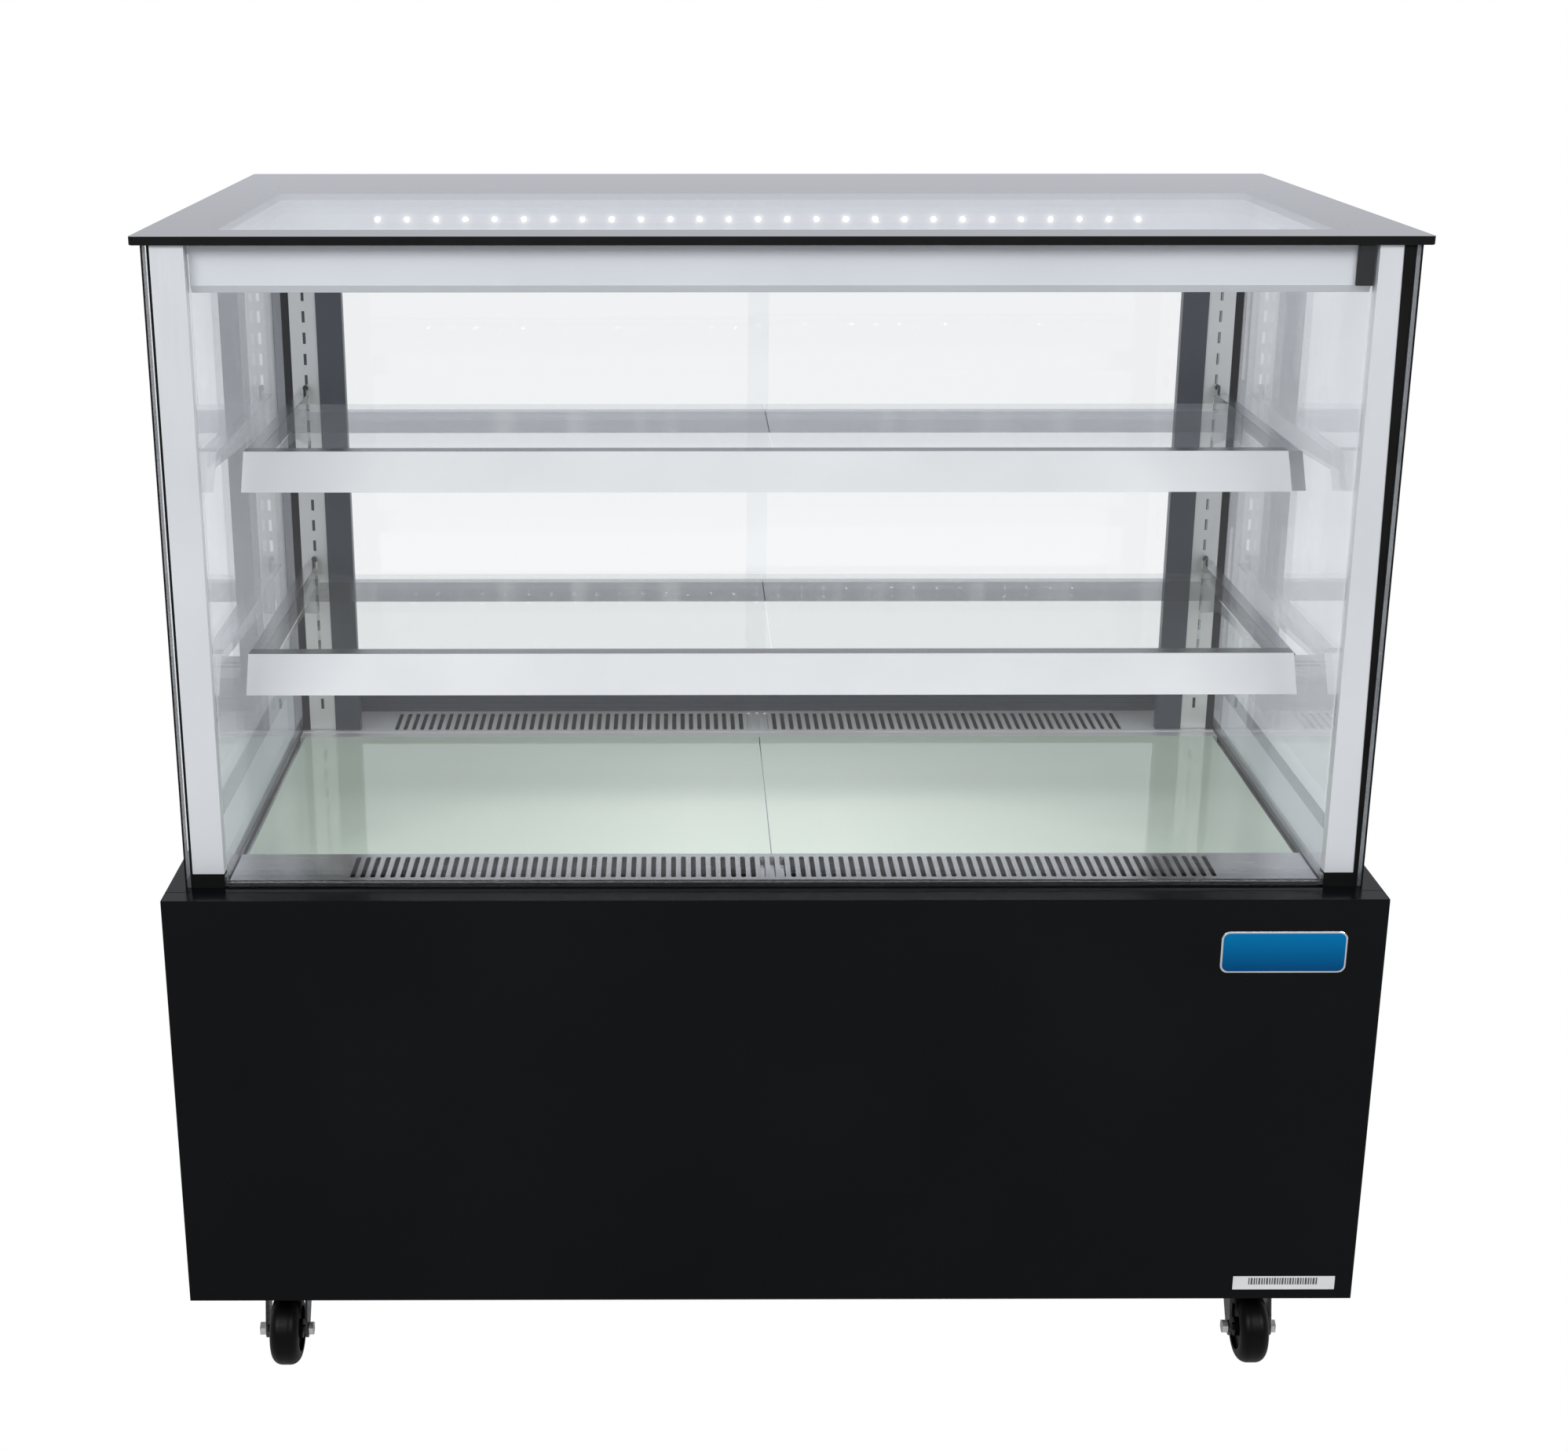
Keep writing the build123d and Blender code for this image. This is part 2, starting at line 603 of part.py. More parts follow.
def top_border():
    """Printed border under the counter glass."""
    d = TOP_REAR - TOP_FRONT
    outer = Pos(0, (TOP_FRONT + TOP_REAR) / 2) * RectangleRounded(2 * TOP_X - 1, d - 1, 4)
    window = Pos(0, (WINDOW_FRONT + WINDOW_REAR) / 2) * Rectangle(2 * WINDOW_X, WINDOW_REAR - WINDOW_FRONT)
    return Pos(0, 0, CASE_TOP) * extrude(outer - window, amount=FRIT)


def front_header():
    """Lamp housing behind the top of the front glass, with a slanted lower lip."""
    y0 = HEADER_FRONT
    y1 = HEADER_FRONT + HEADER_DEPTH
    t = 1.5
    outer = [
        (y0, CASE_TOP),
        (y0, HEADER_FACE),
        (y0 + 5, HEADER_BOTTOM),
        (y1, HEADER_BOTTOM),
        (y1, CASE_TOP),
    ]
    inner = [
        (y0 + t, CASE_TOP - t),
        (y0 + t, HEADER_FACE + 0.5),
        (y0 + 5.6, HEADER_BOTTOM + t),
        (y1 - t, HEADER_BOTTOM + t),
        (y1 - t, CASE_TOP - t),
    ]
    shell = along_x(outer, -HEADER_X, HEADER_X) - along_x(inner, -HEADER_X - 1, HEADER_X + 1)
    slot_x = HEADER_X - 30
    lamp_slot = block(-slot_x, slot_x, y0 + 12, y0 + 28, HEADER_BOTTOM - 1, HEADER_BOTTOM + 3)
    return shell - lamp_slot


def glass_catch():
    """Black catch at the right end of the lamp housing that holds the closed glass."""
    y0 = CASE_FRONT + FRONT_PANE + 0.5
    body = block(CATCH_X, HEADER_X, y0, HEADER_FRONT, HEADER_FACE, CASE_TOP)
    return fillet(body.edges().filter_by(Axis.Z).group_by(Axis.X)[0].group_by(Axis.Y)[0], 3)


def door_header():
    """Pale hollow beam over the doors; its front face carries the rear LED strip."""
    t = 2.0
    y0 = DOOR_HEADER_FRONT
    x = WELL_X
    beam = block(-x, x, y0, CASE_REAR, DOOR_HEADER_BOTTOM, CASE_TOP)
    return beam - block(-x - 1, x + 1, y0 + t, CASE_REAR - t, DOOR_HEADER_BOTTOM + t, CASE_TOP - t)


def led_strip(x0, count, y, z, tilt):
    """An LED board with its lenses; tilt turns the lenses about X from facing -Y."""
    run = LED_PITCH * (count - 1)
    board = block(-14, run + 14, 0, 1.4, -5, 5)
    lenses = [block(LED_PITCH * i - 2.5, LED_PITCH * i + 2.5, -1.6, 0, -2, 2) for i in range(count)]
    return Pos(x0, y, z) * Rot(tilt, 0, 0) * (board + lenses)


def led_strips():
    """Rear strip, lamp strip in the front header and the strips behind both shelf rails."""
    rear = led_strip(-427.3, 27, DOOR_HEADER_FRONT - 1.5, 1144.5, 0)
    front = led_strip(-LED_PITCH * 14.5, 30, HEADER_FRONT + 20, HEADER_BOTTOM + 6, 90)
    shelves = []
    for shelf in (UPPER, LOWER):
        under = shelf["top"] - SHELF_GLASS - 3.6
        shelves.append(led_strip(-LED_PITCH * 14.5, 30, shelf["front"] + 12, under, 90))
    return [rear, front] + shelves


def rear_columns():
    """Dark columns that frame the door opening."""
    return both(COLUMN_IN, COLUMN_OUT, COLUMN_Y, COLUMN_Y + 14, LEDGE_TOP, DOOR_HEADER_BOTTOM)


def slotted_upright():
    """Steel shelf upright with a row of hook slots."""
    x0 = COLUMN_OUT + 0.2
    web = Pos((x0 + UPRIGHT_OUT) / 2, (LEDGE_TOP + DOOR_HEADER_BOTTOM) / 2)
    web = web * Rectangle(UPRIGHT_OUT - x0, DOOR_HEADER_BOTTOM - LEDGE_TOP)
    slots = [Pos(HOOK_X, SLOT_Z0 + HOOK_PITCH * i) * Rectangle(3.6, 13) for i in range(HOOK_SLOTS)]
    face = Pos(0, UPRIGHT_Y + 1.5, 0) * Rot(90, 0, 0) * extrude(web - slots, amount=1.5)
    span = (UPRIGHT_Y, UPRIGHT_Y + 12, LEDGE_TOP, DOOR_HEADER_BOTTOM)
    return face + [block(x0, x0 + 1.5, *span), block(UPRIGHT_OUT - 1.5, UPRIGHT_OUT, *span)]


# ---------------------------------------------------------------- sliding doors


def door_sill():
    """Hollow sill of the door opening, ribbed on its cold side."""
    x = WELL_X
    y0 = WELL_REAR + 0.5
    z1 = SILL_TOP - TRACK_DEPTH
    t = FRAME_WALL
    sill = block(-x, x, y0, CASE_REAR, BASE_TOP, z1)
    hollow = block(-x - 1, x + 1, y0 + t, CASE_REAR - t, BASE_TOP + t, z1 - t)
    ribs = [block(-x - 1, x + 1, y0 - 1, y0 + 1, z, z + 1.6) for z in (552, 558, 564, 570)]
    return sill - hollow - ribs


def track_rails(first, z0, z1):
    """Three beads that leave a groove for each door between them."""
    edges = [first]
    for y in (TRACK_LEFT, TRACK_RIGHT):
        edges += [y - TRACK_PLAY, y + DOOR_PANE + TRACK_PLAY]
    edges.append(CASE_REAR)
    return [block(-WELL_X, WELL_X, lo, hi, z0, z1) for lo, hi in zip(edges[::2], edges[1::2])]


def door_frame():
    """Sill, jambs and head of the door opening, with the two tracks."""
    back = TRACK_LEFT - 10
    z0 = DOOR_HEADER_BOTTOM - DOOR_BEAD
    t = FRAME_WALL
    jamb_top = z0 - TRACK_HEAD
    jamb = block(JAMB_IN, WELL_X, back, CASE_REAR, SILL_TOP, jamb_top)
    jamb -= block(JAMB_IN + t, WELL_X - t, back + t, CASE_REAR - t, SILL_TOP - 1, jamb_top + 1)
    head = block(-WELL_X, WELL_X, back, CASE_REAR, z0, DOOR_HEADER_BOTTOM)
    pieces = [door_sill(), jamb, mirrored(jamb), head]
    pieces += track_rails(WELL_REAR + 0.5, SILL_TOP - TRACK_DEPTH, SILL_TOP)
    pieces += track_rails(back, jamb_top, z0)
    return pieces


def door(x0, x1, y):
    """A frameless sliding pane."""
    return block(x0, x1, y, y + DOOR_PANE, SILL_TOP - 5, DOOR_HEADER_BOTTOM - 8)


def door_handle(x0, y):
    """Slim pull bonded to the outer face of a door, with a finger groove."""
    y0 = y + DOOR_PANE
    body = block(x0, x0 + 17, y0, y0 + 8, 760, 940)
    groove = block(x0 + 5, x0 + 12, y0 + 3, y0 + 9, 772, 928)
    return fillet(body.edges().filter_by(Axis.Y), 5) - groove


# ---------------------------------------------------------------- shelves


def shelf_glass(shelf):
    """Two glass panes side by side."""
    half = HOOK_X - ARM_T / 2 - 0.6
    y0 = shelf["front"] + 2.5
    z0 = shelf["top"] - SHELF_GLASS
    return [
        block(-half, -0.5, y0, shelf["rear"], z0, shelf["top"]),
        block(0.5, half, y0, shelf["rear"], z0, shelf["top"]),
    ]


def shelf_frame(shelf):
    """Two hooked arms joined by a rear rail and a front cross bar."""
    top = shelf["top"]
    hook = shelf["hook"]
    z0 = top - SHELF_GLASS
    x0 = HOOK_X - ARM_T / 2
    x1 = HOOK_X + ARM_T / 2
    y0 = shelf["front"] + 2
    y1 = COLUMN_Y - 1
    parts = []
    arm = [(y0, top), (y0, top - 22), (y1 - 90, top - 34), (y1, top - 60), (y1, top)]
    for side in (-1, 1):
        lo, hi = (x0, x1) if side > 0 else (-x1, -x0)
        parts.append(along_x(arm, lo, hi))
        for z in (hook, hook - HOOK_PITCH):
            parts.append(block(lo, hi, y1 - 1, UPRIGHT_Y + 6, z - 5, z + 5))
            parts.append(block(lo, hi, UPRIGHT_Y + 2.2, UPRIGHT_Y + 6, z - 9, z + 5))
        stud_x = side * HOOK_X
        parts.append(rod_y(stud_x, y1 - 5, y1 + 1, top + 7, 3.2))
        parts.append(block(lo, hi, y1 - 12, y1, top - 1, top + 8))
    parts += both(x1 - 0.1, SHELF_X, y0, y1, top - 1.5, top)
    parts += both(x0 - 11, x0 + 0.1, y0, shelf["rear"] + 1.5, z0 - 2, z0)
    parts.append(block(-x0, x0, shelf["rear"] - 1.5, shelf["rear"] + 1.5, z0 - 26, z0 - 0.1))
    parts.append(block(-x0, x0, shelf["rear"] - 14, shelf["rear"] + 1.5, z0 - 1.6, z0 - 0.1))
    parts.append(block(-x0, x0, y0, y0 + 22, z0 - 2, z0 - 0.1))
    return parts[0] + parts[1:]


def shelf_rail(shelf):
    """Slanted front rail with a flat top lip and a pressed end."""
    y = shelf["front"]
    top = shelf["top"]
    t = 1.5
    outline = [
        (y, top + 1.6),
        (y - RAIL_KICK, top - RAIL_DROP),
        (y - RAIL_KICK + t, top - RAIL_DROP),
        (y + t, top - 1.0),
        (y + t, top + 0.1),
        (y + 18, top + 0.1),
        (y + 18, top + 1.6),
    ]
    return along_x(outline, -SHELF_X, SHELF_X - shelf["nose"])


def shelf_nose():
    """Steel end piece that closes the right end of the upper rail."""
    y = UPPER["front"]
    top = UPPER["top"]
    outline = [
        (y + 0.2, top + 1.4),
        (y - RAIL_KICK + 0.2, top - RAIL_DROP + 1),
        (y - RAIL_KICK + 2.2, top - RAIL_DROP + 1),
        (y + 1.8, top - 1.0),
    ]
    return along_x(outline, SHELF_X - UPPER["nose"] + 0.4, SHELF_X)


# ---------------------------------------------------------------- castors


def castor_plate(x, y):
    """Fixed top plate with its ball race and four bolts."""
    plate = block(x - 40, x + 40, y - 32, y + 32, BASE_BOTTOM - 3, BASE_BOTTOM + SHEET - 0.1)
    race = rod_z(x, y, 91.2, BASE_BOTTOM - 2.9, 23)
    corners = [(x + dx, y + dy) for dx in (-31, 31) for dy in (-24, 24)]
    bolts = [rod_z(u, v, BASE_BOTTOM - 7, BASE_BOTTOM - 2, 5.5) for u, v in corners]
    return plate + race + bolts


def castor_fork(x, y):
    """Pressed fork with the axle bolt and its nut."""
    axle_y = y - TRAIL
    crown = rod_z(x, y, 84, 91, 25)
    side = Pos(axle_y, WHEEL_R) * Circle(9.5)
    side += make_hull(
        Polyline((y - 23, 88), (y + 18, 88), (y + 18, 84), (y - 23, 84), close=True).edges()
        + (Pos(axle_y, WHEEL_R) * Circle(9.5)).edges()
    )
    plate = Plane.YZ * extrude(side, amount=2.5)
    arms = [Pos(x + dx, 0, 0) * plate for dx in (19.6, -22.1)]
    top = block(x - 22.1, x + 22.1, y - 20, y + 18, 84, 88)
    bolt = rod_x(x - 28, x + 26, axle_y, WHEEL_R, AXLE_R)
    head = Pos(x + 22.1, axle_y, WHEEL_R) * Rot(0, 90, 0) * extrude(RegularPolygon(7.5, 6), amount=5.3)
    nut = Pos(x - 28.6, axle_y, WHEEL_R) * Rot(0, 90, 0) * extrude(RegularPolygon(7.5, 6), amount=6.5)
    return crown + top + arms + [bolt, head, nut]


def castor_wheel(x, y):
    """Solid wheel with a rounded tread and a bored hub."""
    centre = Pos(x, y - TRAIL, WHEEL_R) * Rot(0, 90, 0)
    tyre = Cylinder(WHEEL_R, WHEEL_W)
    tyre = fillet(tyre.edges(), 11)
    recess = Pos(0, 0, WHEEL_W / 2) * Cylinder(24, 8) + Pos(0, 0, -WHEEL_W / 2) * Cylinder(24, 8)
    hub = Cylinder(10, WHEEL_W + 3)
    bore = Cylinder(AXLE_R + RUNNING, WHEEL_W + 10)
    return centre * (tyre - recess + hub - bore)


# ---------------------------------------------------------------- write the nodes


def write_base():
    save("base_frame", *base_frame())
    save("front_panel", front_panel())
    save("side_panels", side_panel(), mirrored(side_panel()))
    save("louvre_panel", *louvre_panel())
    save("control_panel", control_panel())
    save("control_bezels", *control_bezels())
    for name, x in SWITCHES.items():
        save(name, rocker(x))
    save("cable_gland", cable_gland())
    save("panel_screws", *panel_screws())
    save("badge", badge())
    save("cold_well", *cold_well())
    save("well_insulation", well_insulation())
    save("plinth_frame", plinth_frame())
    save("deck_glass", *deck_glass())
    save("front_grille", front_grille())
    save("rear_grille", rear_grille())


def write_refrigeration():
    save("evaporator_coil", finned_coil(-330, 330, 60, 150, 450, 526, 56, 3))
    save("evaporator_fan", fan(EVAP_FAN, 42, 16, 22, 5, 2))
    sheet = (-WELL_X, WELL_X, WELL_FLOOR, LEDGE_TOP - 8.2)
    save("evaporator_fan_plate", fan_plate(*sheet, EVAP_FAN, 44.5, -125, -85, 18, 2, -48))
    save("compressor", compressor())
    save("condenser_coil", finned_coil(100, 420, 205, 237, 130, 370, 40, 6))
    save("condenser_fan", fan(COND_FAN, 98, 24, 40, 5, 3))
    save("condenser_shroud", fan_plate(100, 420, 125, 375, COND_FAN, 102, 80, 128, 34, 3, 172))
    save("pipework", *pipework())
    save("drain_tray", *drain_tray())
    save("electrical_box", electrical_box())


def write_case():
    right = side_glass()
    save("side_glass_right", *right)
    save("side_glass_left", *[mirrored(pane) for pane in right])
    bars = [front_post()] + glazing_spacer()
    save("glazing_bars", *bars, *[mirrored(bar) for bar in bars])
    save("edge_trims", *edge_trims(), post_cover(), glass_catch())
    save("front_glass", front_glass())
    save("front_glass_rail", front_glass_rail())
    save("top_glass", top_glass())
    save("top_border", top_border())
    save("front_header", front_header())
    save("door_header", door_header())
    save("led_strips", *led_strips())
    save("rear_columns", *rear_columns())
    save("slotted_uprights", slotted_upright(), mirrored(slotted_upright()))


def write_doors():
    save("door_frame", *door_frame())
    save("door_left", door(0.5 - JAMB_IN, DOOR_LAP, TRACK_LEFT))
    save("door_right", door(-DOOR_LAP, JAMB_IN - 0.5, TRACK_RIGHT))
    save("door_handle_left", door_handle(-519.0, TRACK_LEFT))
    save("door_handle_right", door_handle(502.0, TRACK_RIGHT))


def write_shelves():
    save("upper_shelf_frame", shelf_frame(UPPER), shelf_nose())
    save("lower_shelf_frame", shelf_frame(LOWER))
    for name, shelf in (("upper", UPPER), ("lower", LOWER)):
        save(f"{name}_shelf_glass", *shelf_glass(shelf))
        save(f"{name}_shelf_rail", shelf_rail(shelf))


def write_castors():
    corners = {
        "front_left": (-CASTOR_X, -CASTOR_Y),
        "front_right": (CASTOR_X, -CASTOR_Y),
        "rear_left": (-CASTOR_X, CASTOR_Y),
        "rear_right": (CASTOR_X, CASTOR_Y),
    }
    save("castor_plates", *[castor_plate(x, y) for x, y in corners.values()])
    for name, (x, y) in corners.items():
        save(f"castor_fork_{name}", castor_fork(x, y))
        save(f"castor_wheel_{name}", castor_wheel(x, y))


write_base()
write_refrigeration()
write_case()
write_doors()
write_shelves()
write_castors()
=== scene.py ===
import json
import math

import bmesh
import bpy
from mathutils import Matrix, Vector


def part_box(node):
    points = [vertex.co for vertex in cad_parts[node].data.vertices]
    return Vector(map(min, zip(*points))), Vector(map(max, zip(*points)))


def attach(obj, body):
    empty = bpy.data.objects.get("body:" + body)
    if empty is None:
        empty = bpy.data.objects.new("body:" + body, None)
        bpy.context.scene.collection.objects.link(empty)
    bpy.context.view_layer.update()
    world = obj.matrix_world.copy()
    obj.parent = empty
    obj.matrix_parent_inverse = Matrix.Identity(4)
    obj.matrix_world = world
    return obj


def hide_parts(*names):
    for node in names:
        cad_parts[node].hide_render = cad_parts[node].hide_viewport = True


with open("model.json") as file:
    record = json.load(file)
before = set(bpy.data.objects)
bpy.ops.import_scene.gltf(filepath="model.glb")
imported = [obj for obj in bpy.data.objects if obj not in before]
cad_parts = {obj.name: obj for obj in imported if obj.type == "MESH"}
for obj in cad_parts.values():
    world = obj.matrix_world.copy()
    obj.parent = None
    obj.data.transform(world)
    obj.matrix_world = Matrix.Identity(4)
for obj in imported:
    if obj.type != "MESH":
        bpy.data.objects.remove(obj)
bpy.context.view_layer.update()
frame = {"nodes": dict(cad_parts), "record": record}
nodes = frame["nodes"]

# ---------------------------------------------------------------- node helpers


def new_material(name):
    """An empty node material with its output node."""
    mat = bpy.data.materials.new(name)
    mat.use_nodes = True
    mat.node_tree.nodes.clear()
    mat["output"] = mat.node_tree.nodes.new("ShaderNodeOutputMaterial").name
    return mat


def node(mat, kind, values=None, **settings):
    """A node whose inputs take numbers, colours or other nodes' outputs."""
    made = mat.node_tree.nodes.new(kind)
    for key, value in settings.items():
        setattr(made, key, value)
    for key, value in (values or {}).items():
        if isinstance(value, bpy.types.NodeSocket):
            mat.node_tree.links.new(value, made.inputs[key])
        else:
            made.inputs[key].default_value = value
    return made


def finish_material(mat, shader):
    output = mat.node_tree.nodes[mat["output"]]
    mat.node_tree.links.new(shader, output.inputs["Surface"])
    return mat


def coords(mat, scale=(1, 1, 1)):
    """Object coordinates in metres, stretched by scale."""
    place = node(mat, "ShaderNodeTexCoord").outputs["Object"]
    return node(mat, "ShaderNodeMapping", {"Vector": place, "Scale": scale}).outputs[0]


def noise(mat, scale, detail=3.0, rough=0.5, stretch=(1, 1, 1), warp=0.0):
    values = {
        "Vector": coords(mat, stretch),
        "Scale": scale,
        "Detail": detail,
        "Roughness": rough,
        "Distortion": warp,
    }
    return node(mat, "ShaderNodeTexNoise", values).outputs["Fac"]


def spread(mat, value, low, high, in_low=0.3, in_high=0.7):
    """Remaps a value to the range low..high."""
    values = {"Value": value, "From Min": in_low, "From Max": in_high, "To Min": low, "To Max": high}
    return node(mat, "ShaderNodeMapRange", values).outputs["Result"]


def blend(mat, fac, a, b):
    """A colour between a and b."""
    return node(mat, "ShaderNodeMixRGB", {"Fac": fac, "Color1": a, "Color2": b}).outputs[0]


def math_node(mat, operation, a, b=0.0):
    return node(mat, "ShaderNodeMath", {0: a, 1: b}, operation=operation).outputs[0]


def bump(mat, height, strength, distance):
    return node(
        mat, "ShaderNodeBump", {"Height": height, "Strength": strength, "Distance": distance}
    ).outputs[0]


def grey(v, a=1.0):
    return (v, v, v, a)


def normal(mat):
    """The three parts of the surface normal."""
    geometry = node(mat, "ShaderNodeNewGeometry")
    return node(mat, "ShaderNodeSeparateXYZ", {0: geometry.outputs["Normal"]}).outputs


def position(mat):
    """The three object coordinates in metres."""
    place = node(mat, "ShaderNodeTexCoord").outputs["Object"]
    return node(mat, "ShaderNodeSeparateXYZ", {0: place}).outputs


# ---------------------------------------------------------------- sizes in metres

WINDOW = (-0.535, 0.535, -0.263, 0.186)
LABEL_X = (0.4765, 0.5816)
LABEL_Z = (0.1110, 0.1263)
LABEL_PROUD = 0.0003
BARS_X = (0.4925, 0.563)
BARS_Z = (0.1168, 0.1245)
BAR_WIDTHS = (0.0012, 0.0020, 0.0015)
BAR_GAP = 0.0011

PITCH = 0.0324
REAR_START = -0.4273
REAR_Y = 0.1705
REAR_Z = 1.1445
REAR_COUNT = 27
UNDER_COUNT = 30
UNDER_STRIPS = ((-0.283, 1.132), (-0.153, 0.9404), (-0.190, 0.7414))
LENS_SIDES = 12
# Size of the painted glow round each lens.
PAINTED_HALO_CORE = 0.001
PAINTED_HALO_REACH = 0.012

# ---------------------------------------------------------------- materials


def sheet_metal(name, dark, light, rough, specular=0.5, metallic=0.0, grain=(1, 1, 1), scale=60.0,
                relief=0.03):
    """Painted or bare sheet: cloudy colour, uneven gloss and a fine surface texture."""
    mat = new_material(name)
    cloud = noise(mat, 5.0, 4.0)
    fine = noise(mat, scale, 3.0, 0.6, grain)
    colour = blend(mat, spread(mat, cloud, 0, 1), dark, light)
    shader = node(
        mat,
        "ShaderNodeBsdfPrincipled",
        {
            "Base Color": colour,
            "Metallic": metallic,
            "Roughness": spread(mat, fine, rough[0], rough[1]),
            "Specular IOR Level": specular,
            "Normal": bump(mat, fine, relief, 0.0006),
        },
    )
    return finish_material(mat, shader.outputs[0])


def brushed(name, dark, light, rough, along="x", scale=260.0, aniso=0.4):
    """Metal brushed along one axis: long thin streaks in colour, gloss and relief."""
    mat = new_material(name)
    stretch = {"x": (0.02, 1, 1), "y": (1, 0.02, 1), "z": (1, 1, 0.02)}[along]
    streak = noise(mat, scale, 4.0, 0.7, stretch)
    cloud = noise(mat, 6.0, 3.0)
    streaks = math_node(mat, "MULTIPLY", streak, 0.7)
    clouds = math_node(mat, "MULTIPLY", cloud, 0.3)
    tone = math_node(mat, "ADD", streaks, clouds)
    shader = node(
        mat,
        "ShaderNodeBsdfPrincipled",
        {
            "Base Color": blend(mat, spread(mat, tone, 0, 1, 0.35, 0.65), dark, light),
            "Metallic": 1.0,
            "Roughness": spread(mat, streak, rough[0], rough[1]),
            "Anisotropic": aniso,
            "Normal": bump(mat, streak, 0.04, 0.0001),
        },
    )
    return finish_material(mat, shader.outputs[0])


def shelf_steel(name):
    """Brushed arms, and a rear bar darkened by painted shade that carries painted upright glints standing in
    for the lamps' reflections.
    """
    mat = new_material(name)
    streak = noise(mat, 1100.0, 4.0, 0.7, (1, 0.02, 1))
    arms = blend(mat, spread(mat, streak, 0, 1, 0.35, 0.65), grey(0.50), grey(0.60))
    # Painted glints: soft upright streaks standing in for the lamps' reflections on the rear bar.
    painted_glint = noise(mat, 26.0, 2.0, 0.5, (1, 0.05, 0.05))
    bar = blend(mat, spread(mat, painted_glint, 0, 1, 0.52, 0.72), (0.03, 0.032, 0.03, 1), (0.34, 0.35, 0.34, 1))
    # Faces looking to the front take the painted shade and glints instead of the brushed tone.
    front = math_node(mat, "LESS_THAN", normal(mat)[1], -0.9)
    shader = node(
        mat,
        "ShaderNodeBsdfPrincipled",
        {
            "Base Color": blend(mat, front, arms, bar),
            "Metallic": 1.0,
            "Roughness": spread(mat, streak, 0.16, 0.24),
            "Normal": bump(mat, streak, 0.03, 0.0001),
        },
    )
    return finish_material(mat, shader.outputs[0])


def castor_steel(name):
    """Dark pressed fork with bright nuts outside its arms."""
    mat = new_material(name)
    grain = noise(mat, 160.0, 3.0, 0.6)
    dark = blend(mat, spread(mat, grain, 0, 1), grey(0.05), grey(0.10))
    bright = blend(mat, spread(mat, grain, 0, 1), grey(0.55), grey(0.75))
    low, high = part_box("castor_fork_front_right")
    across = math_node(mat, "ABSOLUTE", position(mat)[0])
    off = math_node(mat, "ABSOLUTE", math_node(mat, "SUBTRACT", across, (low.x + high.x) / 2))
    nut = math_node(mat, "GREATER_THAN", off, 0.0224)
    shader = node(
        mat,
        "ShaderNodeBsdfPrincipled",
        {
            "Base Color": blend(mat, nut, dark, bright),
            "Metallic": 1.0,
            "Roughness": spread(mat, grain, 0.22, 0.36),
            "Normal": bump(mat, grain, 0.03, 0.0004),
        },
    )
    return finish_material(mat, shader.outputs[0])


def rail_sheet(name):
    """White faces with a bare grey metal lip along the top; the cloudy grey on the white faces is a faint
    painted reflection.
    """
    mat = new_material(name)
    lip = math_node(mat, "GREATER_THAN", normal(mat)[2], 0.85)
    cloud = spread(mat, noise(mat, 5.0, 4.0), 0, 1)
    # The cloudy tone on the white faces is a faint painted reflection.
    white_with_painted_reflection = blend(mat, cloud, (0.62, 0.625, 0.63, 1), (0.69, 0.695, 0.70, 1))
    metal = blend(mat, cloud, grey(0.16), grey(0.22))
    fine = noise(mat, 600.0, 3.0, 0.6)
    shader = node(
        mat,
        "ShaderNodeBsdfPrincipled",
        {
            "Base Color": blend(mat, lip, white_with_painted_reflection, metal),
            "Metallic": math_node(mat, "MULTIPLY", lip, 0.9),
            "Roughness": spread(mat, fine, 0.18, 0.26),
            "Normal": bump(mat, fine, 0.015, 0.0004),
        },
    )
    return finish_material(mat, shader.outputs[0])


def painted_lens_halo(mat):
    """Painted glow, given as emission, round each lens of the rear strip, standing in for the light the
    lenses spill over the surface.
    """
    x, _, z = position(mat)
    turns = math_node(mat, "DIVIDE", math_node(mat, "SUBTRACT", x, REAR_START - PITCH / 2), PITCH)
    from_lens = math_node(mat, "SUBTRACT", math_node(mat, "FRACT", turns), 0.5)
    across = math_node(mat, "ABSOLUTE", math_node(mat, "MULTIPLY", from_lens, PITCH))
    above = math_node(mat, "ABSOLUTE", math_node(mat, "SUBTRACT", z, REAR_Z))
    across_square = math_node(mat, "POWER", across, 2.0)
    above_square = math_node(mat, "POWER", above, 2.0)
    distance = math_node(mat, "SQRT", math_node(mat, "ADD", across_square, above_square))
    painted_halo = spread(mat, distance, 1, 0, PAINTED_HALO_CORE, PAINTED_HALO_REACH)
    inside = math_node(mat, "LESS_THAN", math_node(mat, "ABSOLUTE", x), -REAR_START + 0.004)
    front = math_node(mat, "LESS_THAN", normal(mat)[1], -0.5)
    lit = math_node(mat, "MULTIPLY", inside, front)
    return math_node(mat, "MULTIPLY", math_node(mat, "POWER", painted_halo, 2.0), lit)


def painted_glow_board(name, dark, light):
    """Pale painted board with a painted glow of the lenses on it, given as emission."""
    mat = new_material(name)
    fine = noise(mat, 500.0, 3.0, 0.6)
    shader = node(
        mat,
        "ShaderNodeBsdfPrincipled",
        {
            "Base Color": blend(mat, spread(mat, noise(mat, 5.0, 4.0), 0, 1), dark, light),
            "Roughness": spread(mat, fine, 0.3, 0.42),
            "Emission Color": (1.0, 0.99, 0.97, 1),
            # This emission is painted glow round the lenses; the board itself is no lamp.
            "Emission Strength": math_node(mat, "MULTIPLY", painted_lens_halo(mat), 0.9),
            "Normal": bump(mat, fine, 0.02, 0.0003),
        },
    )
    return finish_material(mat, shader.outputs[0])


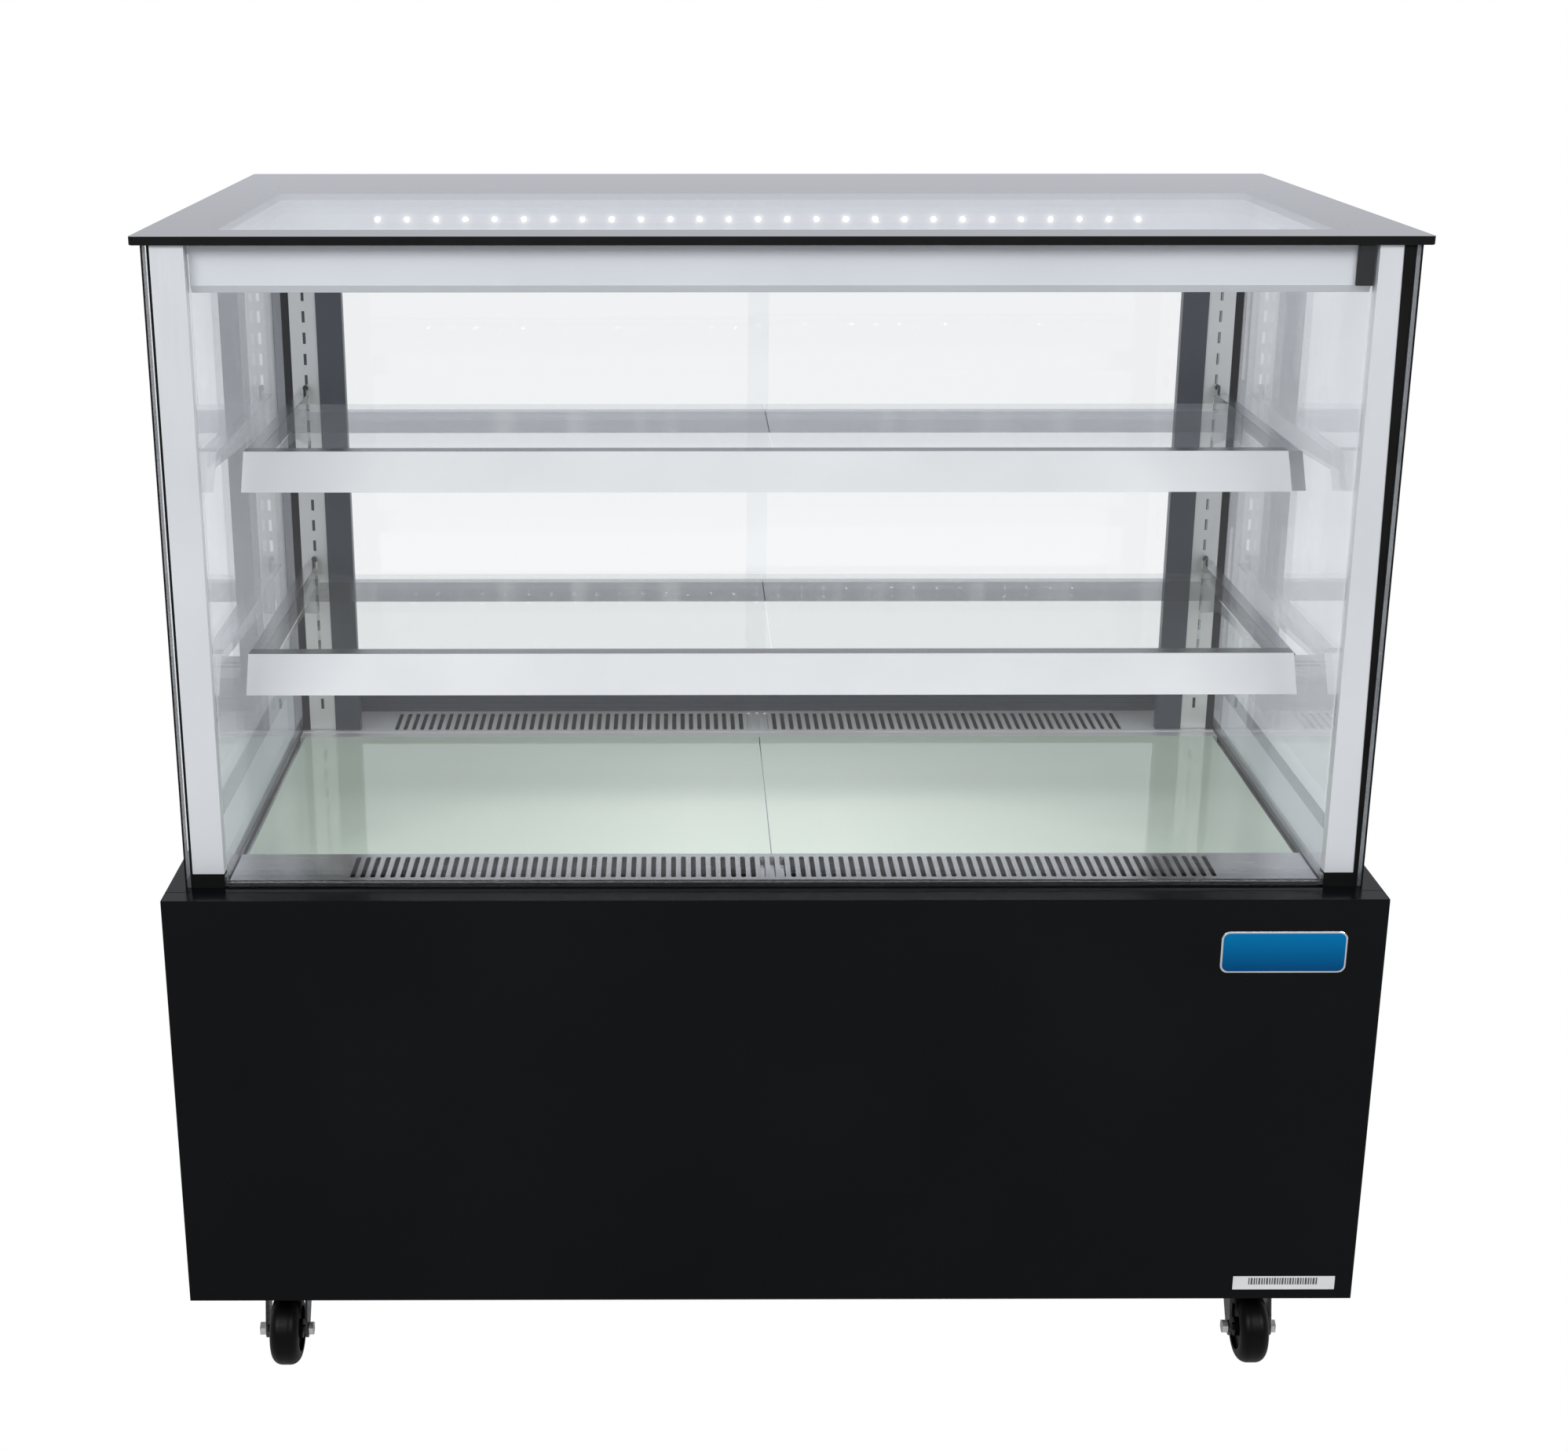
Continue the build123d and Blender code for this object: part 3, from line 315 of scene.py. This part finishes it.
def plastic(name, dark, light, rough, scale=900.0, relief=0.08, specular=0.5):
    """Moulded plastic or rubber with a fine leathery grain."""
    mat = new_material(name)
    grain = noise(mat, scale, 2.0, 0.5)
    cloud = noise(mat, 14.0, 3.0)
    shader = node(
        mat,
        "ShaderNodeBsdfPrincipled",
        {
            "Base Color": blend(mat, spread(mat, cloud, 0, 1), dark, light),
            "Roughness": spread(mat, grain, rough[0], rough[1]),
            "Specular IOR Level": specular,
            "Normal": bump(mat, grain, relief, 0.0002),
        },
    )
    return finish_material(mat, shader.outputs[0])


def pane_shader(mat, tint, haze=0.004, ior=1.5):
    """Thin clear glass: it mirrors by Fresnel and lets the rest straight through, with faint smears."""
    geometry = node(mat, "ShaderNodeNewGeometry")
    both_ways = node(
        mat,
        "ShaderNodeMapRange",
        {"Value": geometry.outputs["Backfacing"], "To Min": ior, "To Max": 1 / ior},
    ).outputs["Result"]
    share = node(mat, "ShaderNodeFresnel", {"IOR": both_ways}).outputs[0]
    clear = node(mat, "ShaderNodeBsdfTransparent", {"Color": tint}).outputs[0]
    mirror = node(mat, "ShaderNodeBsdfGlossy", {"Color": grey(1.0), "Roughness": 0.0}).outputs[0]
    glass = node(mat, "ShaderNodeMixShader", {0: share, 1: clear, 2: mirror}).outputs[0]
    smear = spread(mat, noise(mat, 7.0, 5.0, 0.6, (1, 1, 0.5), 1.5), haze * 0.6, haze, 0.3, 0.8)
    film = node(mat, "ShaderNodeBsdfDiffuse", {"Color": (0.78, 0.82, 0.9, 1)}).outputs[0]
    return node(mat, "ShaderNodeMixShader", {0: smear, 1: glass, 2: film}).outputs[0]


def clear_glass(name, tint, haze=0.004, ior=1.5):
    mat = new_material(name)
    return finish_material(mat, pane_shader(mat, tint, haze, ior))


def axis_mask(mat, limits):
    """1 outside the window given as (low x, high x, low y, high y) in metres, otherwise 0."""
    x, y, _ = position(mat)
    tests = [
        math_node(mat, "LESS_THAN", x, limits[0]),
        math_node(mat, "GREATER_THAN", x, limits[1]),
        math_node(mat, "LESS_THAN", y, limits[2]),
        math_node(mat, "GREATER_THAN", y, limits[3]),
    ]
    total = tests[0]
    for test in tests[1:]:
        total = math_node(mat, "MAXIMUM", total, test)
    return total


def counter_glass(name):
    """Clear glass whose border is printed black from below."""
    mat = new_material(name)
    pane = pane_shader(mat, (0.985, 0.99, 0.985, 1), 0.006)
    ink = node(
        mat,
        "ShaderNodeBsdfPrincipled",
        {
            "Base Color": blend(mat, noise(mat, 30.0), grey(0.006), grey(0.011)),
            "Roughness": spread(mat, noise(mat, 9.0, 4.0), 0.01, 0.05),
            "Specular IOR Level": spread(mat, normal(mat)[2], 0.12, 0.5),
        },
    ).outputs[0]
    printed = node(mat, "ShaderNodeMixShader", {0: axis_mask(mat, WINDOW), 1: pane, 2: ink})
    return finish_material(mat, printed.outputs[0])


def deck_material(name):
    """Pale green glass painted on its underside, with a painted pool of light: brighter in the middle and
    towards the front.
    """
    mat = new_material(name)
    cloud = math_node(mat, "MULTIPLY", noise(mat, 3.0, 4.0, 0.5), 0.1)
    away = math_node(mat, "ABSOLUTE", position(mat)[0])
    # Painted light: brighter towards the middle and the front, fading to the sides and back.
    painted_light_pool = spread(mat, math_node(mat, "ADD", away, cloud), 1, 0, 0.12, 0.5)
    painted_light_pool = math_node(mat, "MULTIPLY", painted_light_pool, spread(mat, position(mat)[1], 1, 0.1, -0.08, 0.14))
    shader = node(
        mat,
        "ShaderNodeBsdfPrincipled",
        {
            "Base Color": blend(mat, painted_light_pool, (0.48, 0.56, 0.47, 1), (0.78, 0.86, 0.76, 1)),
            "Roughness": spread(mat, noise(mat, 11.0, 5.0), 0.02, 0.07),
            "IOR": 1.5,
        },
    )
    return finish_material(mat, shader.outputs[0])


def glow(name, colour, strength):
    mat = new_material(name)
    shader = node(
        mat,
        "ShaderNodeBsdfPrincipled",
        {
            "Base Color": blend(mat, noise(mat, 400.0), grey(0.85), grey(0.95)),
            "Roughness": 0.3,
            "Emission Color": colour,
            "Emission Strength": strength,
        },
    )
    return finish_material(mat, shader.outputs[0])


def badge_face(name):
    """Blue printed face, darker towards its foot."""
    mat = new_material(name)
    low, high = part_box("badge")
    rise = spread(mat, position(mat)[2], 0, 1, low.z, high.z)
    fade = blend(mat, rise, (0.0, 0.045, 0.145, 1), (0.0, 0.155, 0.37, 1))
    speckle = math_node(mat, "MULTIPLY", noise(mat, 90.0), 0.12)
    shader = node(
        mat,
        "ShaderNodeBsdfPrincipled",
        {
            "Base Color": blend(mat, speckle, fade, (0.0, 0.06, 0.14, 1)),
            "Roughness": spread(mat, noise(mat, 400.0), 0.18, 0.26),
            "Specular IOR Level": 0.05,
        },
    )
    return finish_material(mat, shader.outputs[0])


M = {
    "black_sheet": sheet_metal("black_sheet", (0.0030, 0.0032, 0.0036, 1), (0.0042, 0.0044, 0.0050, 1),
                               (0.16, 0.26), specular=0.08, scale=700.0, relief=0.02),
    "galvanised": sheet_metal("galvanised", grey(0.42), grey(0.62), (0.3, 0.5), metallic=0.9, scale=90.0),
    "pale_aluminium": sheet_metal("pale_aluminium", (0.63, 0.65, 0.68, 1), (0.68, 0.70, 0.73, 1),
                                  (0.28, 0.36), scale=500.0, relief=0.02),
    "pale_board": painted_glow_board("pale_board", (0.44, 0.47, 0.52, 1), (0.48, 0.51, 0.56, 1)),
    "white_sheet": rail_sheet("white_sheet"),
    "slate_aluminium": sheet_metal("slate_aluminium", (0.030, 0.036, 0.048, 1), (0.042, 0.050, 0.064, 1),
                                   (0.3, 0.42), scale=600.0, relief=0.03),
    "silver_aluminium": sheet_metal("silver_aluminium", (0.65, 0.665, 0.685, 1), (0.71, 0.725, 0.74, 1),
                                    (0.36, 0.46), metallic=0.35, grain=(1, 1, 0.02), scale=900.0,
                                    relief=0.01),
    "stainless": brushed("stainless", (0.60, 0.60, 0.60, 1), (0.66, 0.66, 0.655, 1), (0.2, 0.28), "x",
                         1100.0),
    "shelf_steel": shelf_steel("shelf_steel"),
    "stainless_up": sheet_metal("stainless_up", (0.70, 0.70, 0.69, 1), (0.78, 0.78, 0.77, 1), (0.3, 0.4),
                                metallic=0.5, grain=(1, 1, 0.02), scale=900.0, relief=0.01),
    "bright_steel": sheet_metal("bright_steel", grey(0.62), grey(0.8), (0.12, 0.25), metallic=1.0,
                                scale=400.0),
    "zinc_steel": castor_steel("zinc_steel"),
    "fin_aluminium": brushed("fin_aluminium", grey(0.6), grey(0.8), (0.3, 0.45), "z"),
    "copper": sheet_metal("copper", (0.62, 0.30, 0.17, 1), (0.78, 0.42, 0.27, 1), (0.2, 0.4),
                          metallic=1.0),
    "black_plastic": plastic("black_plastic", grey(0.006), grey(0.010), (0.3, 0.45), relief=0.03,
                             specular=0.15),
    "trim_black": plastic("trim_black", grey(0.006), grey(0.010), (0.4, 0.5), relief=0.02, specular=0.03),
    "wheel_rubber": plastic("wheel_rubber", grey(0.0008), grey(0.0018), (0.34, 0.48), 500.0, 0.03, 0.12),
    "black_shell": plastic("black_shell", grey(0.006), grey(0.012), (0.15, 0.3), 200.0, 0.03),
    "foam": plastic("foam", (0.62, 0.52, 0.28, 1), (0.75, 0.66, 0.40, 1), (0.8, 0.95), 300.0, 0.5),
    "label_white": plastic("label_white", grey(0.62), grey(0.70), (0.4, 0.5), 700.0, 0.02),
    "label_ink": plastic("label_ink", grey(0.05), grey(0.08), (0.4, 0.5), 700.0, 0.02),
    "led_board": painted_glow_board("led_board", grey(0.52), grey(0.56)),
    "grille_steel": sheet_metal("grille_steel", grey(0.62), grey(0.72), (0.3, 0.4), metallic=0.55,
                                scale=700.0, relief=0.02),
    "lens": glow("lens", (1.0, 0.98, 0.95, 1), 34.0),
    "clear_glass": clear_glass("clear_glass", (0.990, 0.994, 0.996, 1)),
    "front_pane": clear_glass("front_pane", (0.995, 0.997, 0.998, 1), 0.002),
    "shelf_pane": clear_glass("shelf_pane", (0.95, 0.955, 0.94, 1), 0.004, 1.36),
    "upper_pane": clear_glass("upper_pane", (0.965, 0.965, 0.95, 1), 0.07, 1.36),
    "side_pane": clear_glass("side_pane", (0.990, 0.994, 0.998, 1), 0.10),
    "rail_metal": brushed("rail_metal", grey(0.42), grey(0.50), (0.2, 0.3), "x", 1100.0),
    "door_pane": clear_glass("door_pane", (0.988, 0.993, 0.998, 1), 0.003),
    "deck_glass": deck_material("deck_glass"),
    "counter_glass": counter_glass("counter_glass"),
    "border_ink": plastic("border_ink", grey(0.006), grey(0.011), (0.05, 0.12), 300.0, 0.0),
    "badge_blue": badge_face("badge_blue"),
}

# ---------------------------------------------------------------- CAD pieces

slot_of = {part["node"]: part["material_slot"] for part in frame["record"]["subparts"]}
FINISH = {
    "slotted_uprights": "stainless_up",
    "top_glass": "counter_glass",
    "edge_trims": "trim_black",
    "door_header": "pale_board",
    "rear_grille": "grille_steel",
    "upper_shelf_frame": "shelf_steel",
    "lower_shelf_frame": "shelf_steel",
    "lower_shelf_glass": "shelf_pane",
    "upper_shelf_glass": "upper_pane",
    "side_glass_left": "side_pane",
    "side_glass_right": "side_pane",
    "front_glass_rail": "rail_metal",
    "door_left": "door_pane",
    "door_right": "door_pane",
    "front_glass": "front_pane",
}


def soften(ob, width, segments=2):
    """Rounds the hard edges of a CAD piece a little."""
    weld = ob.modifiers.new("weld", "WELD")
    weld.merge_threshold = 0.00001
    bevel = ob.modifiers.new("bevel", "BEVEL")
    bevel.width = width
    bevel.segments = segments
    bevel.limit_method = "ANGLE"
    bevel.angle_limit = math.radians(40)
    bevel.use_clamp_overlap = True
    bevel.harden_normals = False


SOFT = {
    "front_panel": 0.0005,
    "side_panels": 0.0005,
    "top_glass": 0.0007,
    "glazing_bars": 0.0006,
    "front_header": 0.0005,
    "upper_shelf_rail": 0.0005,
    "lower_shelf_rail": 0.0005,
    "edge_trims": 0.0004,
    "rear_columns": 0.0008,
    "door_frame": 0.0006,
    "control_bezels": 0.0004,
}

for name, ob in nodes.items():
    if name in SOFT:
        soften(ob, SOFT[name])
    ob.data.materials.clear()
    ob.data.materials.append(M[FINISH.get(name, slot_of[name])])

# ---------------------------------------------------------------- mesh helpers


def mesh_piece(name, build, material, body="cabinet"):
    """Makes a mesh object from a function that fills a bmesh, and lets it ride on a body."""
    bm = bmesh.new()
    build(bm)
    mesh = bpy.data.meshes.new(name)
    bm.to_mesh(mesh)
    bm.free()
    ob = bpy.data.objects.new(name, mesh)
    bpy.context.scene.collection.objects.link(ob)
    mesh.materials.append(material)
    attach(ob, body)
    return ob


def add_block(bm, low, high):
    """A box between two corners, in metres."""
    corners = [(x, y, z) for x in (low[0], high[0]) for y in (low[1], high[1]) for z in (low[2], high[2])]
    v = [bm.verts.new(c) for c in corners]
    for face in ((0, 1, 3, 2), (4, 6, 7, 5), (0, 4, 5, 1), (2, 3, 7, 6), (0, 2, 6, 4), (1, 5, 7, 3)):
        bm.faces.new([v[i] for i in face])


def rounded_outline(x0, x1, z0, z1, r, steps=6):
    """Corner points of a rounded rectangle in the XZ plane."""
    points = []
    corners = ((x1 - r, z1 - r, 0), (x0 + r, z1 - r, 90), (x0 + r, z0 + r, 180), (x1 - r, z0 + r, 270))
    for cx, cz, turn in corners:
        for i in range(steps + 1):
            a = math.radians(turn + 90 * i / steps)
            points.append((cx + r * math.cos(a), cz + r * math.sin(a)))
    return points


# ---------------------------------------------------------------- boards and lenses


def strip_places():
    """Start point, count and facing of each LED strip: (x, y, z, count, facing)."""
    start = -PITCH * (UNDER_COUNT - 1) / 2
    under = [(start, y, z, UNDER_COUNT, "down") for y, z in UNDER_STRIPS]
    return [(REAR_START, REAR_Y, REAR_Z, REAR_COUNT, "front")] + under


def lens_dome(bm, x, y, z, facing):
    """A low rounded lens, 5 mm by 4 mm, standing 1.6 mm off its board."""
    rings = [(2.5, 0.0), (2.4, 0.7), (1.9, 1.25), (1.1, 1.55), (0.0, 1.6)]
    before = None
    for radius, height in rings:
        ring = []
        for i in range(LENS_SIDES):
            a = math.tau * i / LENS_SIDES
            u, w = radius * math.cos(a) / 1000, radius * 0.8 * math.sin(a) / 1000
            h = height / 1000
            place = (x + u, y - h, z + w) if facing == "front" else (x + u, y + w, z - h)
            ring.append(bm.verts.new(place))
            if radius == 0:
                break
        for i in range(LENS_SIDES if before else 0):
            j = (i + 1) % LENS_SIDES
            top = [ring[j], ring[i]] if len(ring) > 1 else [ring[0]]
            bm.faces.new([before[i], before[j]] + top)
        before = ring


def build_lenses(bm):
    for x, y, z, count, facing in strip_places():
        for i in range(count):
            lens_dome(bm, x + PITCH * i, y, z, facing)
    bmesh.ops.recalc_face_normals(bm, faces=bm.faces)


def build_boards(bm):
    for x, y, z, count, facing in strip_places():
        end = x + PITCH * (count - 1)
        if facing == "front":
            add_block(bm, (x - 0.014, y, z - 0.005), (end + 0.014, y + 0.0014, z + 0.005))
        else:
            add_block(bm, (x - 0.014, y - 0.005, z), (end + 0.014, y + 0.005, z + 0.0014))
    bmesh.ops.recalc_face_normals(bm, faces=bm.faces)


boards = mesh_piece("led_boards", build_boards, M["led_board"])
mesh_piece("led_lenses", build_lenses, M["lens"])
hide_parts("led_strips")

# ---------------------------------------------------------------- badge and label


def plate_with_rim(bm, outline, y_back, y_front, inset):
    """A plate facing -Y with its front edge chamfered."""
    layers = [(0.0, y_back), (0.0, y_front + 0.0004), (inset * 0.4, y_front)]
    cx = sum(p[0] for p in outline) / len(outline)
    cz = sum(p[1] for p in outline) / len(outline)
    before = None
    for shrink, y in layers:
        ring = []
        for px, pz in outline:
            x = px - math.copysign(shrink, px - cx)
            z = pz - math.copysign(shrink, pz - cz)
            ring.append(bm.verts.new((x, y, z)))
        if before:
            for i in range(len(ring)):
                j = (i + 1) % len(ring)
                bm.faces.new([before[i], before[j], ring[j], ring[i]])
        before = ring
    bm.faces.new(before)
    bmesh.ops.recalc_face_normals(bm, faces=bm.faces)


badge_low, badge_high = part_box("badge")


def badge_outline(margin, radius):
    """The badge's outline, a margin inside its edge."""
    left, right = badge_low.x + margin, badge_high.x - margin
    return rounded_outline(left, right, badge_low.z + margin, badge_high.z - margin, radius)


def build_badge_rim(bm):
    plate_with_rim(bm, badge_outline(0, 0.008), badge_high.y, badge_low.y + 0.0003, 0.0012)


def build_badge_face(bm):
    outline = badge_outline(0.0016, 0.0066)
    plate_with_rim(bm, outline, badge_high.y - 0.0001, badge_low.y + 0.00005, 0.0012)


badge_rim = mesh_piece("badge_rim", build_badge_rim, M["bright_steel"])
mesh_piece("badge_face", build_badge_face, M["badge_blue"])
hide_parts("badge")

FACE_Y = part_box("front_panel")[0].y


def build_label(bm):
    add_block(bm, (LABEL_X[0], FACE_Y - LABEL_PROUD, LABEL_Z[0]), (LABEL_X[1], FACE_Y, LABEL_Z[1]))


def build_bars(bm):
    """An even row of plain bars."""
    x = BARS_X[0]
    i = 0
    while x < BARS_X[1]:
        width = BAR_WIDTHS[i % len(BAR_WIDTHS)]
        add_block(bm, (x, FACE_Y - 0.0004, BARS_Z[0]), (x + width, FACE_Y - 0.0002, BARS_Z[1]))
        x += width + BAR_GAP
        i += 1


mesh_piece("label_plate", build_label, M["label_white"])
mesh_piece("label_bars", build_bars, M["label_ink"])

# ---------------------------------------------------------------- stage, light and camera

FLOOR_HALF = 12.0
GLOW_BEHIND = 0.55
FRONT_LIGHT = (0.16, 0.17, 0.19, 1)
BACK_LIGHT = (0.76, 0.78, 0.84, 1)
TOP_LIGHT = (0.74, 0.76, 0.80, 1)
SENSOR = 36.0
LENS = 53.571
SHIFT_X = 0.060966
CAMERA_PLACE = (-0.0940, -2.4597, 1.4119)
CAMERA_PITCH = 0.3150
CAMERA_ROLL = -0.0041


def floor_material():
    """White paper in view; other rays meet paper that is lit behind the case and duller in front of it."""
    mat = new_material("floor")
    lit = spread(mat, position(mat)[1], 0, GLOW_BEHIND, -0.6, 0.5)
    shade = blend(mat, noise(mat, 2.0), grey(0.50), grey(0.52))
    paper = node(mat, "ShaderNodeBsdfDiffuse", {"Color": shade}).outputs[0]
    lamp = node(mat, "ShaderNodeEmission", {"Color": grey(1.0), "Strength": lit}).outputs[0]
    lighting = node(mat, "ShaderNodeAddShader", {0: paper, 1: lamp}).outputs[0]
    seen = node(mat, "ShaderNodeEmission", {"Color": grey(1.0), "Strength": 1.0}).outputs[0]
    path = node(mat, "ShaderNodeLightPath").outputs["Is Camera Ray"]
    return finish_material(mat, node(mat, "ShaderNodeMixShader", {0: path, 1: lighting, 2: seen}).outputs[0])


def build_floor():
    bm = bmesh.new()
    corners = ((-1, -1), (1, -1), (1, 1), (-1, 1))
    bm.faces.new([bm.verts.new((x * FLOOR_HALF, y * FLOOR_HALF, 0)) for x, y in corners])
    mesh = bpy.data.meshes.new("floor")
    bm.to_mesh(mesh)
    bm.free()
    mesh.materials.append(floor_material())
    ob = bpy.data.objects.new("floor", mesh)
    bpy.context.scene.collection.objects.link(ob)
    ob.location.z = -0.0005
    return ob


def smooth_step(tree, value, low, high):
    """0 below low, 1 above high, smooth between them."""
    step = tree.nodes.new("ShaderNodeMapRange")
    step.interpolation_type = "SMOOTHSTEP"
    step.inputs["From Min"].default_value = low
    step.inputs["From Max"].default_value = high
    tree.links.new(value, step.inputs["Value"])
    return step.outputs[0]


def sky_mix(tree, fac, a, b):
    """A colour between a, a colour or a socket, and the colour b."""
    mix = tree.nodes.new("ShaderNodeMixRGB")
    mix.inputs["Color2"].default_value = b
    tree.links.new(fac, mix.inputs["Fac"])
    if isinstance(a, bpy.types.NodeSocket):
        tree.links.new(a, mix.inputs["Color1"])
    else:
        mix.inputs["Color1"].default_value = a
    return mix.outputs[0]


def studio_world():
    """A white backdrop behind and above the case, a dim room in front of it."""
    world = bpy.data.worlds.new("studio")
    bpy.context.scene.world = world
    world.use_nodes = True
    tree = world.node_tree
    tree.nodes.clear()
    new, link = tree.nodes.new, tree.links.new
    split = new("ShaderNodeSeparateXYZ")
    link(new("ShaderNodeTexCoord").outputs["Generated"], split.inputs[0])
    level = sky_mix(tree, smooth_step(tree, split.outputs[1], -0.45, 0.5), FRONT_LIGHT, BACK_LIGHT)
    total = sky_mix(tree, smooth_step(tree, split.outputs[2], 0.1, 0.8), level, TOP_LIGHT)
    camera_ray = new("ShaderNodeLightPath").outputs["Is Camera Ray"]
    seen = sky_mix(tree, camera_ray, total, grey(1.0))
    background = new("ShaderNodeBackground")
    link(seen, background.inputs["Color"])
    link(background.outputs[0], new("ShaderNodeOutputWorld").inputs["Surface"])


def soft_box(name, place, target, size, power):
    light = bpy.data.lights.new(name, "AREA")
    light.shape = "RECTANGLE"
    light.size, light.size_y = size
    light.energy = power
    ob = bpy.data.objects.new(name, light)
    bpy.context.scene.collection.objects.link(ob)
    ob.location = place
    ob.rotation_euler = (Vector(target) - Vector(place)).to_track_quat("-Z", "Y").to_euler()
    return ob


build_floor()
studio_world()
soft_box("key", (-2.2, -3.0, 3.0), (0, 0, 0.7), (2.0, 1.6), 90)
soft_box("fill", (2.4, -2.8, 2.8), (0, 0, 0.7), (2.0, 1.6), 75)

camera_data = bpy.data.cameras.new("camera")
camera_data.sensor_width = SENSOR
camera_data.lens = LENS
camera_data.shift_x = SHIFT_X
camera_data.clip_start = 0.05
camera = bpy.data.objects.new("camera", camera_data)
bpy.context.scene.collection.objects.link(camera)
camera.location = CAMERA_PLACE
camera.rotation_euler = (math.pi / 2 - CAMERA_PITCH, 0, CAMERA_ROLL)
bpy.context.scene.camera = camera

scene = bpy.context.scene
scene.view_settings.view_transform = "Standard"
scene.cycles.transparent_max_bounces = 32
scene.cycles.max_bounces = 12
